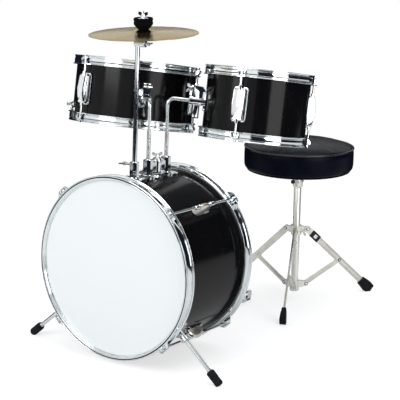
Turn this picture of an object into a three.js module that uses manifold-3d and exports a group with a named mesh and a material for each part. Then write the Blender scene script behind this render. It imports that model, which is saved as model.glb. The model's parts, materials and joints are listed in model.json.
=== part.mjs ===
// Three-piece junior drum kit with a bass drum, a snare, a tom, a cymbal, a pedal and a throne.
// Millimetres, +Z up. The bass drum's front head faces -Y and the player sits at +Y.
import * as THREE from 'three';
import { mergeVertices } from 'three/addons/utils/BufferGeometryUtils.js';
import Module from 'manifold-3d';

const wasm = await Module();
wasm.setup();

// ---------------------------------------------------------------- driving dimensions
const RAD = Math.PI / 180;
const GAP = 0.3;                       // assembly gap between touching pieces
const RUN = 0.2;                       // clearance of a twelve-sided rod in its twelve-sided bore

const BASS_R = 205;                    // 16 in shell with its wrap, outside radius
const BASS_W = 272;                    // over both hoops
const BASS_HOOP_R = BASS_R + 16;
const BASS_HOOP_W = 29;
const BASS_TILT = 2.55 * RAD;          // nose up, the rear hoop stands in the pedal's toe jaw
const TOE_T = 2;                       // pedal's toe plate under the hoop
const BASS_CENTRE_Z = BASS_HOOP_R * Math.cos(BASS_TILT) + BASS_W * Math.sin(BASS_TILT) + TOE_T + GAP;
const BASS_ROD_OUT = 19;               // tension rods off the shell
const BASS_ROD_R = BASS_R + BASS_ROD_OUT;
const BASS_LUG_L = 68;
const LUG_TURN = -1.2;
const BASS_LUG_ANGLES = [45, 135, 225, 315].map((deg) => deg + LUG_TURN);
const EAR_FRONT = 3.4;                 // ear plate behind the hoop's front plane

const SNARE_HOOP_R = 164;
const SNARE_H = 166;                   // over both hoops
const SNARE_ARM = 246.1;                // L-rod axis to the drum's axis
const TOM_HOOP_R = 137.5;
const TOM_H = 175;
const TOM_ARM = 219.6;
const DRUM_ARM_DROP = 91.5;            // arm below the top rim
const DRUM_LEAN = 9.7 * RAD;           // both playing faces lean to the player
const ARM_SPLAY = 46.85 * RAD;

const POST_S = 80;                     // cymbal post, L-rods: distance behind the front hoop plane
const ROD1_S = 133;
const ROD2_S = 205;
const POST_R = 5.5;
const LROD_R = 4.5;
const ARM_H = 388.5;                   // L-rod elbow above the bass drum's axis
const POST_TOP_H = 528;

const SPUR_S = 48;
const SPUR_ANGLE = -36.75;             // where the socket sits on the shell
const SPUR_DROP = 40.7;                // its line below the horizontal
const SPUR_R = 4.75;

const CYMBAL_R = 127;
const CYMBAL_OFFSET = 18;              // tilter carries the cymbal beside the post
const CYMBAL_TILT = 3 * RAD;

const THRONE_X = 97;
const THRONE_Y = 699;
const SEAT_R = 154;
const SEAT_BOTTOM = 372;
const SEAT_SIDE = 60;
const TUBE_R = 10.25;
const HUB_Z = 199;                     // leg pivots
const LOWER_HUB_Z = 40;                // brace pivots
const HUB_PIVOT_R = 33;
const LEG_PIVOT_R = 136.5;             // brace pivot on the leg
const LEG_PIVOT_Z = 100.5;
const FOOT_R = 222;
const THRONE_TURN = 23.3;

const PEDAL_X = -12;
const AXLE_Y = 308;
const AXLE_Z = 140;
const HEEL_Y = 603;                    // footboard's hinge
const HEEL_Z = 21;
const BOARD_TOE_Z = 92;

// ---------------------------------------------------------------- helpers
const V = (x, y, z) => new THREE.Vector3(x, y, z);

function toManifold(geometry) {
  const g = geometry.clone();
  g.deleteAttribute('normal');
  g.deleteAttribute('uv');
  const m = mergeVertices(g, 1e-4);
  const index = m.index ? m.index.array : null;
  return new wasm.Manifold(new wasm.Mesh({
    numProp: 3,
    vertProperties: new Float32Array(m.attributes.position.array),
    triVerts: new Uint32Array(index),
  }));
}

function frameOf(origin, x, y, z) {
  const m = new THREE.Matrix4().makeBasis(x, y, z);
  m.setPosition(origin);
  return m;
}

function place(geometry, matrix) {
  return toManifold(geometry.clone().applyMatrix4(matrix));
}

const ID = new THREE.Matrix4();
const move = (x, y, z) => new THREE.Matrix4().makeTranslation(x, y, z);
const turn = (axis, angle) => new THREE.Matrix4().makeRotationAxis(axis.clone().normalize(), angle);
const chain = (...list) => list.reduce((a, b) => a.clone().multiply(b), ID);

function box(w, d, h, m = ID) {
  return place(new THREE.BoxGeometry(w, d, h), m);
}

// cylinder from p to q
function rod(p, q, r, seg = 16, r2 = r) {
  const axis = q.clone().sub(p);
  const g = new THREE.CylinderGeometry(r2, r, axis.length(), seg);
  const spin = new THREE.Matrix4().makeRotationFromQuaternion(
    new THREE.Quaternion().setFromUnitVectors(V(0, 1, 0), axis.clone().normalize()));
  const mid = p.clone().add(q).multiplyScalar(0.5);
  return place(g, chain(move(mid.x, mid.y, mid.z), spin));
}

// solid of revolution about +Z from an outline of [radius, height] pairs, in either sense
function turned(points, seg, m = ID) {
  const section = points.map(([r, z]) => new THREE.Vector2(r, z));
  if (THREE.ShapeUtils.area(section) < 0) section.reverse();
  const g = new THREE.LatheGeometry(section, seg);
  g.rotateX(Math.PI / 2);
  return place(g, m);
}

function ring(profile, seg, m = ID) {
  return turned([...profile, profile[0]], seg, m);
}

// flat outline in X and Y pulled up along +Z, centred on z = 0
function slab(outline, height, m = ID, bevel = 0) {
  const shape = new THREE.Shape(outline.map(([x, y]) => new THREE.Vector2(x, y)));
  const g = new THREE.ExtrudeGeometry(shape, {
    depth: height - 2 * bevel,
    bevelEnabled: bevel > 0,
    bevelThickness: bevel,
    bevelSize: bevel,
    bevelOffset: -bevel,
    bevelSegments: 1,
    curveSegments: 8,
  });
  g.translate(0, 0, bevel - height / 2);
  return place(g, m);
}

function roundedOutline(w, h, r, steps = 3) {
  const out = [];
  for (const [cx, cy, a0] of [[w / 2 - r, h / 2 - r, 0], [r - w / 2, h / 2 - r, 90],
    [r - w / 2, r - h / 2, 180], [w / 2 - r, r - h / 2, 270]]) {
    for (let i = 0; i <= steps; i += 1) {
      const a = (a0 + (90 * i) / steps) * RAD;
      out.push([cx + r * Math.cos(a), cy + r * Math.sin(a)]);
    }
  }
  return out;
}

// round bar along a curve
function bar(curve, r, steps, seg = 12) {
  const shape = new THREE.Shape();
  for (let i = 0; i < seg; i += 1) {
    const a = (2 * Math.PI * i) / seg;
    if (i === 0) shape.moveTo(r, 0);
    else shape.lineTo(r * Math.cos(a), r * Math.sin(a));
  }
  shape.closePath();
  const g = new THREE.ExtrudeGeometry(shape, { steps, bevelEnabled: false, extrudePath: curve });
  return place(g, ID);
}

function fuse(...solids) {
  return solids.reduce((a, b) => a.add(b));
}

const at = (solid, m) => solid.transform(m.elements);

const group = new THREE.Group();
group.name = 'junior_drum_kit';

const finishes = {
  wrap: { color: 0x0d0d0f, roughness: 0.12, metalness: 0.0 },
  chrome: { color: 0xd6d9dc, roughness: 0.12, metalness: 1.0 },
  steel: { color: 0xb8babb, roughness: 0.3, metalness: 1.0 },
  head: { color: 0xf2f2f0, roughness: 0.35, metalness: 0.0 },
  clear: { color: 0xdfe3e4, roughness: 0.2, metalness: 0.0 },
  brass: { color: 0xc2a55c, roughness: 0.22, metalness: 1.0 },
  felt: { color: 0x101010, roughness: 0.95, metalness: 0.0 },
  rubber: { color: 0x121212, roughness: 0.8, metalness: 0.0 },
  vinyl: { color: 0x11131a, roughness: 0.45, metalness: 0.0 },
};

function add(name, solid, finish) {
  const data = solid.getMesh();
  const g = new THREE.BufferGeometry();
  const n = data.numProp;
  const src = data.vertProperties;
  const pos = new Float32Array((src.length / n) * 3);
  for (let i = 0; i < pos.length / 3; i += 1) {
    for (let k = 0; k < 3; k += 1) pos[3 * i + k] = src[n * i + k];
  }
  g.setAttribute('position', new THREE.BufferAttribute(pos, 3));
  g.setIndex(new THREE.BufferAttribute(new Uint32Array(data.triVerts), 1));
  g.computeVertexNormals();
  const material = new THREE.MeshStandardMaterial(finishes[finish]);
  material.name = finish;
  const mesh = new THREE.Mesh(g, material);
  mesh.name = name;
  group.add(mesh);
}

// ---------------------------------------------------------------- bass drum
// Local frame: x across, y back along the drum's axis from the front hoop plane, z up from the axis.
const BASS = chain(move(0, 0, BASS_CENTRE_Z), turn(V(1, 0, 0), -BASS_TILT));
const AXIS = turn(V(1, 0, 0), -Math.PI / 2);          // turned solids: +Z becomes +Y
const RINGS = 36;                      // facets round the bass drum

// point on the drum at distance s behind the front plane, angle from +X towards up, radius r
function onBass(s, deg, r) {
  return V(r * Math.cos(deg * RAD), s, r * Math.sin(deg * RAD));
}

// frame standing on the shell: x along the drum's axis, z outwards
function bassSeat(s, deg) {
  const out = onBass(0, deg, 1);
  const x = V(0, 1, 0);
  return frameOf(onBass(s, deg, BASS_R), x, out.clone().cross(x), out);
}

const HEAD_IN = 8.3;                   // head recessed behind the hoop's front plane
const HEAD_T = 1.0;
const SHELL_END = HEAD_IN + HEAD_T + GAP;
const SHELL_T = 6;

const shellTube = ring([[BASS_R - SHELL_T, SHELL_END], [BASS_R, SHELL_END],
  [BASS_R, BASS_W - SHELL_END], [BASS_R - SHELL_T, BASS_W - SHELL_END]], RINGS, AXIS);
let bassShell = shellTube;
// spur line on one side: point at distance t outwards from the shell
function spurLine(sign, t) {
  const out = V(sign * Math.cos(SPUR_DROP * RAD), 0, -Math.sin(SPUR_DROP * RAD));
  return onBass(SPUR_S, sign > 0 ? SPUR_ANGLE : 180 - SPUR_ANGLE, BASS_R).add(out.multiplyScalar(t));
}
for (const side of [1, -1]) {
  bassShell = bassShell.subtract(rod(spurLine(side, -30), spurLine(side, 20), SPUR_R + 0.6, 16));
}
add('bass_shell', at(bassShell, BASS), 'wrap');

// head: flat skin, rolled collar and the flesh hoop that drops over the shell
const fleshIn = BASS_R + 1;
const fleshOut = BASS_R + 7.5;
const skinPoints = [[0, HEAD_IN], [fleshOut - 0.8, HEAD_IN], [fleshOut, HEAD_IN + 1],
  [fleshOut, HEAD_IN + 7], [fleshIn, HEAD_IN + 7], [fleshIn, HEAD_IN + HEAD_T], [0, HEAD_IN + HEAD_T]];
const REAR = chain(move(0, BASS_W, 0), turn(V(0, 0, 1), Math.PI), AXIS);
add('bass_front_head', at(turned(skinPoints, RINGS, AXIS), BASS), 'head');
add('bass_back_head', at(turned(skinPoints, RINGS, REAR), BASS), 'head');

// pressed channel hoop: two outward flanges, a web and an inner lip bearing on the flesh hoop
const hoopIn = fleshOut + 0.4;
const lipZ = HEAD_IN - GAP;
const hoopProfile = [[hoopIn - 1, 0], [BASS_HOOP_R, 0], [BASS_HOOP_R, 3], [hoopIn + 2.4, 3.8],
  [hoopIn + 2.4, BASS_HOOP_W - 3.4], [BASS_HOOP_R, BASS_HOOP_W - 2.8], [BASS_HOOP_R, BASS_HOOP_W],
  [hoopIn, BASS_HOOP_W], [hoopIn, lipZ], [hoopIn - 4, lipZ]];

// hoop with its tension ears: a flared tab behind the front flange and a hollow cup, drilled for the
// rod, with the flange notched for the rod's collar
const EAR_W = 22;
const EAR_OUT = 8;                     // ear beyond the rod
const COLLAR_R = 5.8;
function bassHoop(flip) {
  let h = ring(hoopProfile, RINGS, AXIS);
  const far = BASS_ROD_R + EAR_OUT;
  for (const deg of BASS_LUG_ANGLES) {
    const out = onBass(0, deg, 1);
    const m = frameOf(onBass(0, deg, 0), out, V(0, 1, 0), out.clone().cross(V(0, 1, 0)));
    const outline = [[hoopIn + 1.2, EAR_FRONT], [far, EAR_FRONT], [far, EAR_FRONT + 6],
      [BASS_HOOP_R - 1, BASS_HOOP_W - 1], [hoopIn + 1.2, BASS_HOOP_W - 1]];
    const hollow = [[hoopIn - 5, EAR_FRONT + 3.4], [far + 4, EAR_FRONT + 3.4], [far + 4, BASS_HOOP_W + 5],
      [hoopIn - 5, BASS_HOOP_W + 5]];
    const flare = [[-28, BASS_HOOP_R - 7], [28, BASS_HOOP_R - 7], [EAR_W / 2, far], [-EAR_W / 2, far]];
    h = h.add(slab(outline, EAR_W, m).subtract(slab(hollow, EAR_W - 5, m)))
      .add(slab(flare, 3.4, frameOf(onBass(EAR_FRONT + 1.7, deg, 0), out.clone().cross(V(0, 1, 0)), out,
        V(0, 1, 0))))
      .subtract(rod(onBass(-5, deg, BASS_ROD_R), onBass(BASS_HOOP_W + 8, deg, BASS_ROD_R), 4.2, 8))
      .subtract(rod(onBass(-5, deg, BASS_ROD_R), onBass(EAR_FRONT, deg, BASS_ROD_R), COLLAR_R + 0.8, 8));
  }
  return flip ? at(h.mirror([0, 1, 0]), move(0, BASS_W, 0)) : h;
}
add('bass_front_hoop', at(bassHoop(false), BASS), 'chrome');
add('bass_back_hoop', at(bassHoop(true), BASS), 'chrome');

// bass lug: base plate with pointed ends, boat-shaped casing and a sleeve nut at each end.
// drum lug: rounded plate, shallow box casing and a nut at each end.
// Local frame: x along the rods, z outwards from the shell.
function boatLug(length, width, casing, rodOut) {
  const half = length / 2;
  const plate = [[-half, 0], [10 - half, -width / 2], [half - 10, -width / 2], [half, 0], [half - 10, width / 2],
    [10 - half, width / 2]];
  const hull = [];
  for (let i = 0; i < 12; i += 1) {
    const a = (i + 0.5) * 30 * RAD;
    hull.push([(half - 3) * Math.cos(a), (casing / 2) * Math.sign(Math.sin(a)) * Math.abs(Math.sin(a)) ** 0.6]);
  }
  let body = slab(plate, 8, move(0, 0, -1)).add(slab(hull, rodOut + 10, move(0, 0, (rodOut + 10) / 2 - 4), 2.4));
  for (const s of [-1, 1]) body = body.add(rod(V(s * (half - 12), 0, rodOut), V(s * (half + 4), 0, rodOut), 5, 8));
  return body;
}
function boxLug(length, width, casing, rodOut) {
  let body = slab(roundedOutline(length, width, 6, 1), 7.5, move(0, 0, -1.25))
    .add(slab(roundedOutline(length - 5, casing, 5, 1), rodOut + 9, move(0, 0, (rodOut + 9) / 2 - 5), 2.5));
  for (const s of [-1, 1]) {
    body = body.add(rod(V(s * (length / 2 - 8), 0, rodOut), V(s * (length / 2 + 4), 0, rodOut), 4.6, 6));
  }
  return body;
}

// tension rod from the lug to beyond the ear at x = ear, with a collar and a square head
function tensionRod(ear, rodOut, r, collar) {
  const s = Math.sign(ear);
  return turned([[0, 0], [r, 0], [r, ear], [collar, ear], [collar, ear + s * 4], [3.2, ear + s * 4],
    [3.2, ear + s * 8], [0, ear + s * 8]], 8, chain(move(0, 0, rodOut), turn(V(0, 1, 0), Math.PI / 2)));
}

// solid drum of the bass shell's own section, widened by grow, for seating pieces on the shell
const bassCore = (grow) => turned([[0, -1], [BASS_R + grow, -1], [BASS_R + grow, BASS_W + 1],
  [0, BASS_W + 1]], RINGS, AXIS);

const BASS_LUG_S = 143;                // lugs sit a little behind the middle
function bassLug(deg) {
  const l = boatLug(BASS_LUG_L, 25, 17, BASS_ROD_OUT)
    .add(tensionRod(EAR_FRONT - GAP - BASS_LUG_S, BASS_ROD_OUT, 3, COLLAR_R))
    .add(tensionRod(BASS_W - EAR_FRONT + GAP - BASS_LUG_S, BASS_ROD_OUT, 3, COLLAR_R));
  return at(l, bassSeat(BASS_LUG_S, deg)).subtract(bassCore(GAP));
}
BASS_LUG_ANGLES.forEach((deg, i) => {
  add(`bass_lug_${i + 1}`, at(bassLug(deg), BASS), 'chrome');
});

// curved foot of a bracket: slab following the shell, centred at s and deg
function foot(s, deg, along, across, thick) {
  const raw = slab(roundedOutline(along, across, Math.min(along, across) * 0.3, 1), 24, bassSeat(s, deg));
  return raw.intersect(bassCore(GAP + thick)).subtract(bassCore(GAP));
}

// screw head sitting on a foot
function screw(s, deg, r) {
  return rod(onBass(s, deg, BASS_R + 1.5), onBass(s, deg, BASS_R + r), 4, 6);
}

// wing screw pointing along +Z from z = 0, two rounded ears on a hub
function wingScrew(stem, hubR = 4.6, span = 26) {
  const ear = [[0, 1], [span / 2, 5], [span / 2 + 0.4, 10], [span / 2 - 3, 11.5], [0, 7]];
  const mirrored = ear.map(([x, y]) => [-x, y]).reverse();
  const edge = frameOf(V(0, 0, stem), V(1, 0, 0), V(0, 0, 1), V(0, -1, 0));
  return fuse(rod(V(0, 0, 0), V(0, 0, stem + 1), 2.8, 8),
    rod(V(0, 0, stem), V(0, 0, stem + 6.5), hubR, 8, hubR - 0.8),
    slab(ear, 2.6, edge), slab(mirrored, 2.6, edge));
}

// eight-sided socket standing on the drum, open at the top for a rod of radius r
const SOCKET_TOP = 40.5;                // above the shell
const SOCKET_FLOOR = 7;
function socket(s, r, half) {
  const base = onBass(s, 90, BASS_R - 2);
  const top = onBass(s, 90, BASS_R + SOCKET_TOP);
  const body = rod(base, top, half / Math.cos(Math.PI / 8), 8);
  const collar = rod(onBass(s, 90, BASS_R + SOCKET_TOP - 9), onBass(s, 90, BASS_R + SOCKET_TOP), half + 2.2, 10,
    half + 1.4);
  return { body: body.add(collar), bore: rod(onBass(s, 90, BASS_R + SOCKET_FLOOR), onBass(s, 90, BASS_R + 90), r, 12) };
}

const shellCut = bassCore(GAP);
const cymbalSocket = socket(POST_S, POST_R + RUN, 9.5);
const socketScrew = at(wingScrew(20), frameOf(V(-POST_R - 2, POST_S, BASS_R + SOCKET_TOP - 7),
  V(0, 1, 0), V(0, 0, -1), V(-1, 0, 0)));
add('cymbal_socket', at(fuse(cymbalSocket.body, foot(POST_S, 90, 34, 56, 3), screw(POST_S, 84.2, 6.5),
  screw(POST_S, 95.8, 6.5), socketScrew).subtract(cymbalSocket.bore).subtract(shellCut), BASS), 'chrome');

// double receiver: two sockets, a bridge, and one upright clamp boss between them
const receiverA = socket(ROD1_S, LROD_R + RUN, 10);
const receiverB = socket(ROD2_S, LROD_R + RUN, 10);
const MID_S = (ROD1_S + ROD2_S) / 2;
const bridge = box(12, ROD2_S - ROD1_S - 12, 20, move(0, MID_S, BASS_R + 22));
const clampBoss = turned([[0, BASS_R + 10], [11, BASS_R + 10], [11, BASS_R + 32], [14, BASS_R + 33], [14, BASS_R + 36],
  [9, BASS_R + 41], [0, BASS_R + 41]], 10, move(0, MID_S, 0));
add('tom_receiver', at(fuse(receiverA.body, receiverB.body, bridge, clampBoss,
  foot(ROD1_S, 90, 34, 60, 3), foot(ROD2_S, 90, 34, 60, 3), foot(MID_S, 90, 60, 22, 3),
  screw(ROD1_S, 84, 6.5), screw(ROD1_S, 96, 6.5), screw(ROD2_S, 84, 6.5), screw(ROD2_S, 96, 6.5),
  at(wingScrew(2, 5), frameOf(V(0, MID_S, BASS_R + 41), V(0.5, 0.866, 0), V(-0.866, 0.5, 0), V(0, 0, 1))))
  .subtract(receiverA.bore).subtract(receiverB.bore).subtract(shellCut), BASS), 'chrome');

// spurs: slanted socket on a domed plate, straight rod through the shell, rubber foot
const SPUR_OUT = 34;                   // socket length off the shell
const SPUR_FOOT_R = 10;
const SPUR_FOOT_L = 37;
function spurSide(sign) {
  const deg = sign > 0 ? SPUR_ANGLE : 180 - SPUR_ANGLE;
  const p = (t) => spurLine(sign, t);
  const out = p(1).sub(p(0));
  const footZ = -(BASS_CENTRE_Z - Math.sin(BASS_TILT) * SPUR_S) / Math.cos(BASS_TILT);
  const reach = (footZ - p(0).z) / out.z;  // where the rod's line meets the floor
  const bracket = fuse(foot(SPUR_S, deg, 50, 40, 3), rod(p(-2), p(SPUR_OUT), 9.5, 12, 8.5),
    rod(p(SPUR_OUT - 9), p(SPUR_OUT), 10.8, 12))
    .add(at(wingScrew(11), frameOf(p(SPUR_OUT - 15).add(V(0, 7, 0)), out.clone().negate(),
      out.clone().cross(V(0, 1, 0)), V(0, 1, 0))))
    .subtract(rod(p(-30), p(SPUR_OUT + 10), SPUR_R + RUN, 12)).subtract(shellCut);
  const tip = reach - 8.5;
  const end = tip - 12;
  const top = tip - SPUR_FOOT_L;
  const rodSolid = rod(p(-14), p(end), SPUR_R, 12).add(rod(p(top - GAP - 4), p(top - GAP), 6.2, 12));
  const side = V(0, 1, 0);
  const rubber = turned([[0, 0], [SPUR_FOOT_R - 2, 0], [SPUR_FOOT_R, 4], [SPUR_FOOT_R, SPUR_FOOT_L - 3],
    [SPUR_FOOT_R - 2.5, SPUR_FOOT_L + 2], [0, SPUR_FOOT_L + 2]], 12, frameOf(p(top), out.clone().cross(side).negate(), side, out))
    .subtract(rod(p(top - 5), p(end + GAP), SPUR_R + GAP, 12));
  return { bracket, rodSolid, rubber };
}
const floorCut = box(2000, 2000, 200, move(0, 0, -100));
for (const [sign, side] of [[1, 'right'], [-1, 'left']]) {
  const s = spurSide(sign);
  add(`spur_bracket_${side}`, at(s.bracket, BASS), 'chrome');
  add(`spur_${side}`, at(s.rodSolid, BASS), 'chrome');
  add(`spur_foot_${side}`, at(s.rubber, BASS).subtract(floorCut), 'rubber');
}

// ---------------------------------------------------------------- L-rods and hanging drums
const toWorld = (v) => v.clone().applyMatrix4(BASS);
const bassUp = V(0, Math.sin(BASS_TILT), Math.cos(BASS_TILT));
const armDrop = Math.atan(Math.tan(DRUM_LEAN) * Math.cos(ARM_SPLAY));
function armDirection(side) {
  return V(side * Math.sin(ARM_SPLAY) * Math.cos(armDrop), Math.cos(ARM_SPLAY) * Math.cos(armDrop), -Math.sin(armDrop));
}
const drumUp = V(0, Math.sin(DRUM_LEAN), Math.cos(DRUM_LEAN));
const ELBOW_R = 16;

const BRACKET_OUT = 42;                // clamp tube off the shell
const CLAMP_UP = 30;                   // clamp bolt above the arm
const ARM_IN = 26;                     // arm's length held in the bracket

function drumFrame(side, s, arm) {
  const u = armDirection(side);
  const elbow = toWorld(V(0, s, ARM_H));
  const d = elbow.clone().add(u.clone().multiplyScalar(arm));
  return { u, elbow, m: frameOf(d, u.clone().cross(drumUp), u, drumUp) };
}

// L-rod: upright in the receiver, bend, arm pointing at the drum
function lRod(frame, s, arm, shellR) {
  const base = toWorld(V(0, s, BASS_R + SOCKET_FLOOR + 1));
  const end = frame.elbow.clone().add(frame.u.clone().multiplyScalar(arm - shellR - 5));
  const path = new THREE.CurvePath();
  const inPoint = frame.elbow.clone().sub(bassUp.clone().multiplyScalar(ELBOW_R));
  const outPoint = frame.elbow.clone().add(frame.u.clone().multiplyScalar(ELBOW_R));
  const bend = new THREE.QuadraticBezierCurve3(inPoint, frame.elbow, outPoint);
  const pts = [base, inPoint, ...bend.getPoints(6).slice(1, -1), outPoint, end];
  return sweep(pts, LROD_R, 12);
}

// round bar through straight points with mitred joints, as one closed mesh
function sweep(pts, r, seg) {
  const rings = [];
  let normal = null;
  for (let i = 0; i < pts.length; i += 1) {
    const a = pts[Math.max(0, i - 1)];
    const b = pts[Math.min(pts.length - 1, i + 1)];
    const tIn = pts[i].clone().sub(a);
    const tOut = b.clone().sub(pts[i]);
    if (i === 0) tIn.copy(tOut);
    if (i === pts.length - 1) tOut.copy(tIn);
    tIn.normalize();
    tOut.normalize();
    const t = tIn.clone().add(tOut).normalize();
    if (!normal) {
      normal = new THREE.Vector3(1, 0, 0);
      if (Math.abs(t.x) > 0.8) normal.set(0, 1, 0);
    }
    normal = normal.clone().sub(t.clone().multiplyScalar(normal.dot(t))).normalize();
    const side = t.clone().cross(normal);
    const ringPoints = [];
    for (let k = 0; k < seg; k += 1) {
      const ang = (2 * Math.PI * k) / seg;
      ringPoints.push(pts[i].clone().add(normal.clone().multiplyScalar(r * Math.cos(ang)))
        .add(side.clone().multiplyScalar(r * Math.sin(ang))));
    }
    rings.push(ringPoints);
  }
  const pos = [];
  const tri = (a, b, c) => pos.push(...a.toArray(), ...b.toArray(), ...c.toArray());
  for (let i = 0; i + 1 < rings.length; i += 1) {
    for (let k = 0; k < seg; k += 1) {
      const n = (k + 1) % seg;
      tri(rings[i][k], rings[i][n], rings[i + 1][n]);
      tri(rings[i][k], rings[i + 1][n], rings[i + 1][k]);
    }
  }
  for (const [e, flip] of [[0, true], [rings.length - 1, false]]) {
    for (let k = 0; k < seg; k += 1) {
      const n = (k + 1) % seg;
      if (flip) tri(pts[e], rings[e][n], rings[e][k]);
      else tri(pts[e], rings[e][k], rings[e][n]);
    }
  }
  const g = new THREE.BufferGeometry();
  g.setAttribute('position', new THREE.Float32BufferAttribute(pos, 3));
  return toManifold(g);
}

// one hanging drum. Local frame: origin where the arm's line meets the drum's axis, z up the axis,
// y away from the L-rod, so the bracket is on the -Y side. Angles run from -Y towards +X.
const LUG_ANGLES = [-60, 60, 180];
function around(deg, r, z) {
  return V(r * Math.sin(deg * RAD), -r * Math.cos(deg * RAD), z);
}
function drumSeat(deg, r, z) {
  const out = around(deg, 1, 0);
  return frameOf(around(deg, r, z), V(0, 0, 1), out.clone().cross(V(0, 0, 1)), out);
}

const HOOP_TALL = 23;
const HOOP_OUT = 10.5;                 // flange beyond the shell
const DRUM_ROD_OUT = 11.2;             // tension rods off the shell
function hangingDrum(spec) {
  const { name, hoopR, height, frame, seg } = spec;
  const shellR = hoopR - HOOP_OUT;
  const top = DRUM_ARM_DROP;
  const bottom = top - height;
  const headIn = 7.5;
  const rodR = shellR + DRUM_ROD_OUT;
  const out = {};
  const inner = shellR - 5;
  const zTop = top - headIn - 1 - GAP;
  const zBottom = bottom + headIn + 1 + GAP;
  out.shellR = shellR;
  let shell = ring([[inner, zBottom], [shellR, zBottom], [shellR, zTop], [inner, zTop]], seg);
  if (spec.extra) shell = spec.extra(shell, shellR);
  add(`${name}_shell`, at(shell, frame.m), 'wrap');

  const fi = shellR + 0.7;
  const fo = shellR + 5;
  const head = [[0, 0], [fo - 0.8, 0], [fo, -1], [fo, -6], [fi, -6], [fi, -1], [0, -1]];
  add(`${name}_top_head`, at(turned(head, seg, move(0, 0, top - headIn)), frame.m), 'head');
  add(`${name}_bottom_head`, at(turned(head.map(([r, z]) => [r, -z]), seg, move(0, 0, bottom + headIn)), frame.m), 'clear');

  // flanged hoop: rolled top lip, wall, bearing step over the flesh hoop and an outward bottom flange
  const wall = fo + 0.3;
  const step = -headIn + GAP;
  const profile = [[wall - 3.4, step], [wall, step], [wall, -HOOP_TALL], [hoopR, -HOOP_TALL],
    [hoopR, -HOOP_TALL + 2], [wall + 1.8, -HOOP_TALL + 2], [wall + 1.8, -2.2], [wall + 2.8, -1.2],
    [wall + 2.6, 0], [wall, 0]];
  function hoop() {
    let h = ring(profile, seg);
    for (const deg of LUG_ANGLES) {
      const m = frameOf(V(0, 0, 0), around(deg, 1, 0), V(0, 0, 1), around(deg, 1, 0).cross(V(0, 0, 1)));
      const z0 = -HOOP_TALL + 3;
      const skirt = slab([[wall + 1, -7], [rodR + 6, -7], [rodR + 6, z0 + 7], [hoopR - 0.5, z0 - 1],
        [wall + 1, z0 - 1]], 20, m);
      h = h.add(skirt.subtract(slab([[wall - 4, -10], [rodR + 9, -10], [rodR + 9, z0 - 9], [wall - 4, z0 - 9]],
        15.6, m)));
      h = h.subtract(rod(around(deg, rodR, 4), around(deg, rodR, -HOOP_TALL - 4), 3.3, 8));
    }
    return h;
  }
  add(`${name}_top_hoop`, at(hoop(), chain(frame.m, move(0, 0, top))), 'chrome');
  // mirrored about the mid plane so the ears keep their angles
  let lower = hoop().mirror([0, 0, 1]);
  if (spec.gate) lower = spec.gate(lower);
  add(`${name}_bottom_hoop`, at(lower, chain(frame.m, move(0, 0, bottom))), 'chrome');

  const mid = (top + bottom) / 2;
  const core = (grow) => turned([[0, bottom - 5], [shellR + grow, bottom - 5], [shellR + grow, top + 5],
    [0, top + 5]], seg);
  const lugL = spec.lugLength;
  LUG_ANGLES.forEach((deg, i) => {
    const rodOut = rodR - shellR;
    let l = boxLug(lugL, 36, 29, rodOut);
    for (const s of [-1, 1]) l = l.add(tensionRod(s * (height / 2 - 7 + GAP), rodOut, 2.6, 4));
    l = at(l, drumSeat(deg, shellR, mid)).subtract(core(GAP));
    add(`${name}_lug_${i + 1}`, at(l, frame.m), 'chrome');
  });

  // arm bracket: foot bent to the shell, tube bored for the arm, upright clamp block with its wing bolt
  // above the tube, and a bent strap below
  const upright = frameOf(V(0, 0, 0), V(0, -1, 0), V(0, 0, 1), V(-1, 0, 0));
  const far = shellR + BRACKET_OUT;
  const plate = slab(roundedOutline(46, 28, 6, 2), 30, drumSeat(0, shellR, 0)).intersect(core(GAP + 3));
  let block = fuse(plate, rod(around(0, shellR - 1, 0), around(0, far, 0), 10.5, 10),
    rod(around(0, far - 9, 0), around(0, far, 0), 12.5, 12, 11.5),
    slab([[shellR + 1, 2], [far - 7, 2], [far - 7, CLAMP_UP + 5], [far - 12, CLAMP_UP + 9], [shellR + 8, CLAMP_UP + 6],
      [shellR + 1, CLAMP_UP - 8]], 17, upright, 1.2),
    rod(around(0, far - 8, CLAMP_UP), around(0, far - 4, CLAMP_UP), 7.5, 10),
    at(wingScrew(1, 4.6, 22), frameOf(around(0, far - 4, CLAMP_UP), spec.wing, around(0, 1, 0).cross(spec.wing),
      around(0, 1, 0))));
  const strap = slab([[far - 26, -42], [far - 12, -42], [far - 10, -38], [far - 10, -6], [far - 28, -6],
    [far - 28, -38]], 5, upright).subtract(slab([[far - 25.5, -39.5], [far - 12.5, -39.5], [far - 12.5, -11], [far - 25.5, -11]],
    9, upright));
  block = fuse(block, strap, rod(around(0, shellR + 1, 19), around(0, shellR + 5.5, 19), 3.6, 6),
    rod(around(0, shellR + 1, -19), around(0, shellR + 5.5, -19), 3.6, 6));
  block = block.subtract(rod(around(0, shellR + 3.2, 0), around(0, far + 5, 0), LROD_R + RUN, 12))
    .subtract(core(GAP));
  add(`${name}_bracket`, at(block, frame.m), 'chrome');
  return out;
}

const snareFrame = drumFrame(-1, ROD1_S, SNARE_ARM);
const tomFrame = drumFrame(1, ROD2_S, TOM_ARM);

// snare strainer on one side and butt on the other: housings on the shell, gates in the bottom hoop
const STRAINER_DEG = -75;
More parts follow.
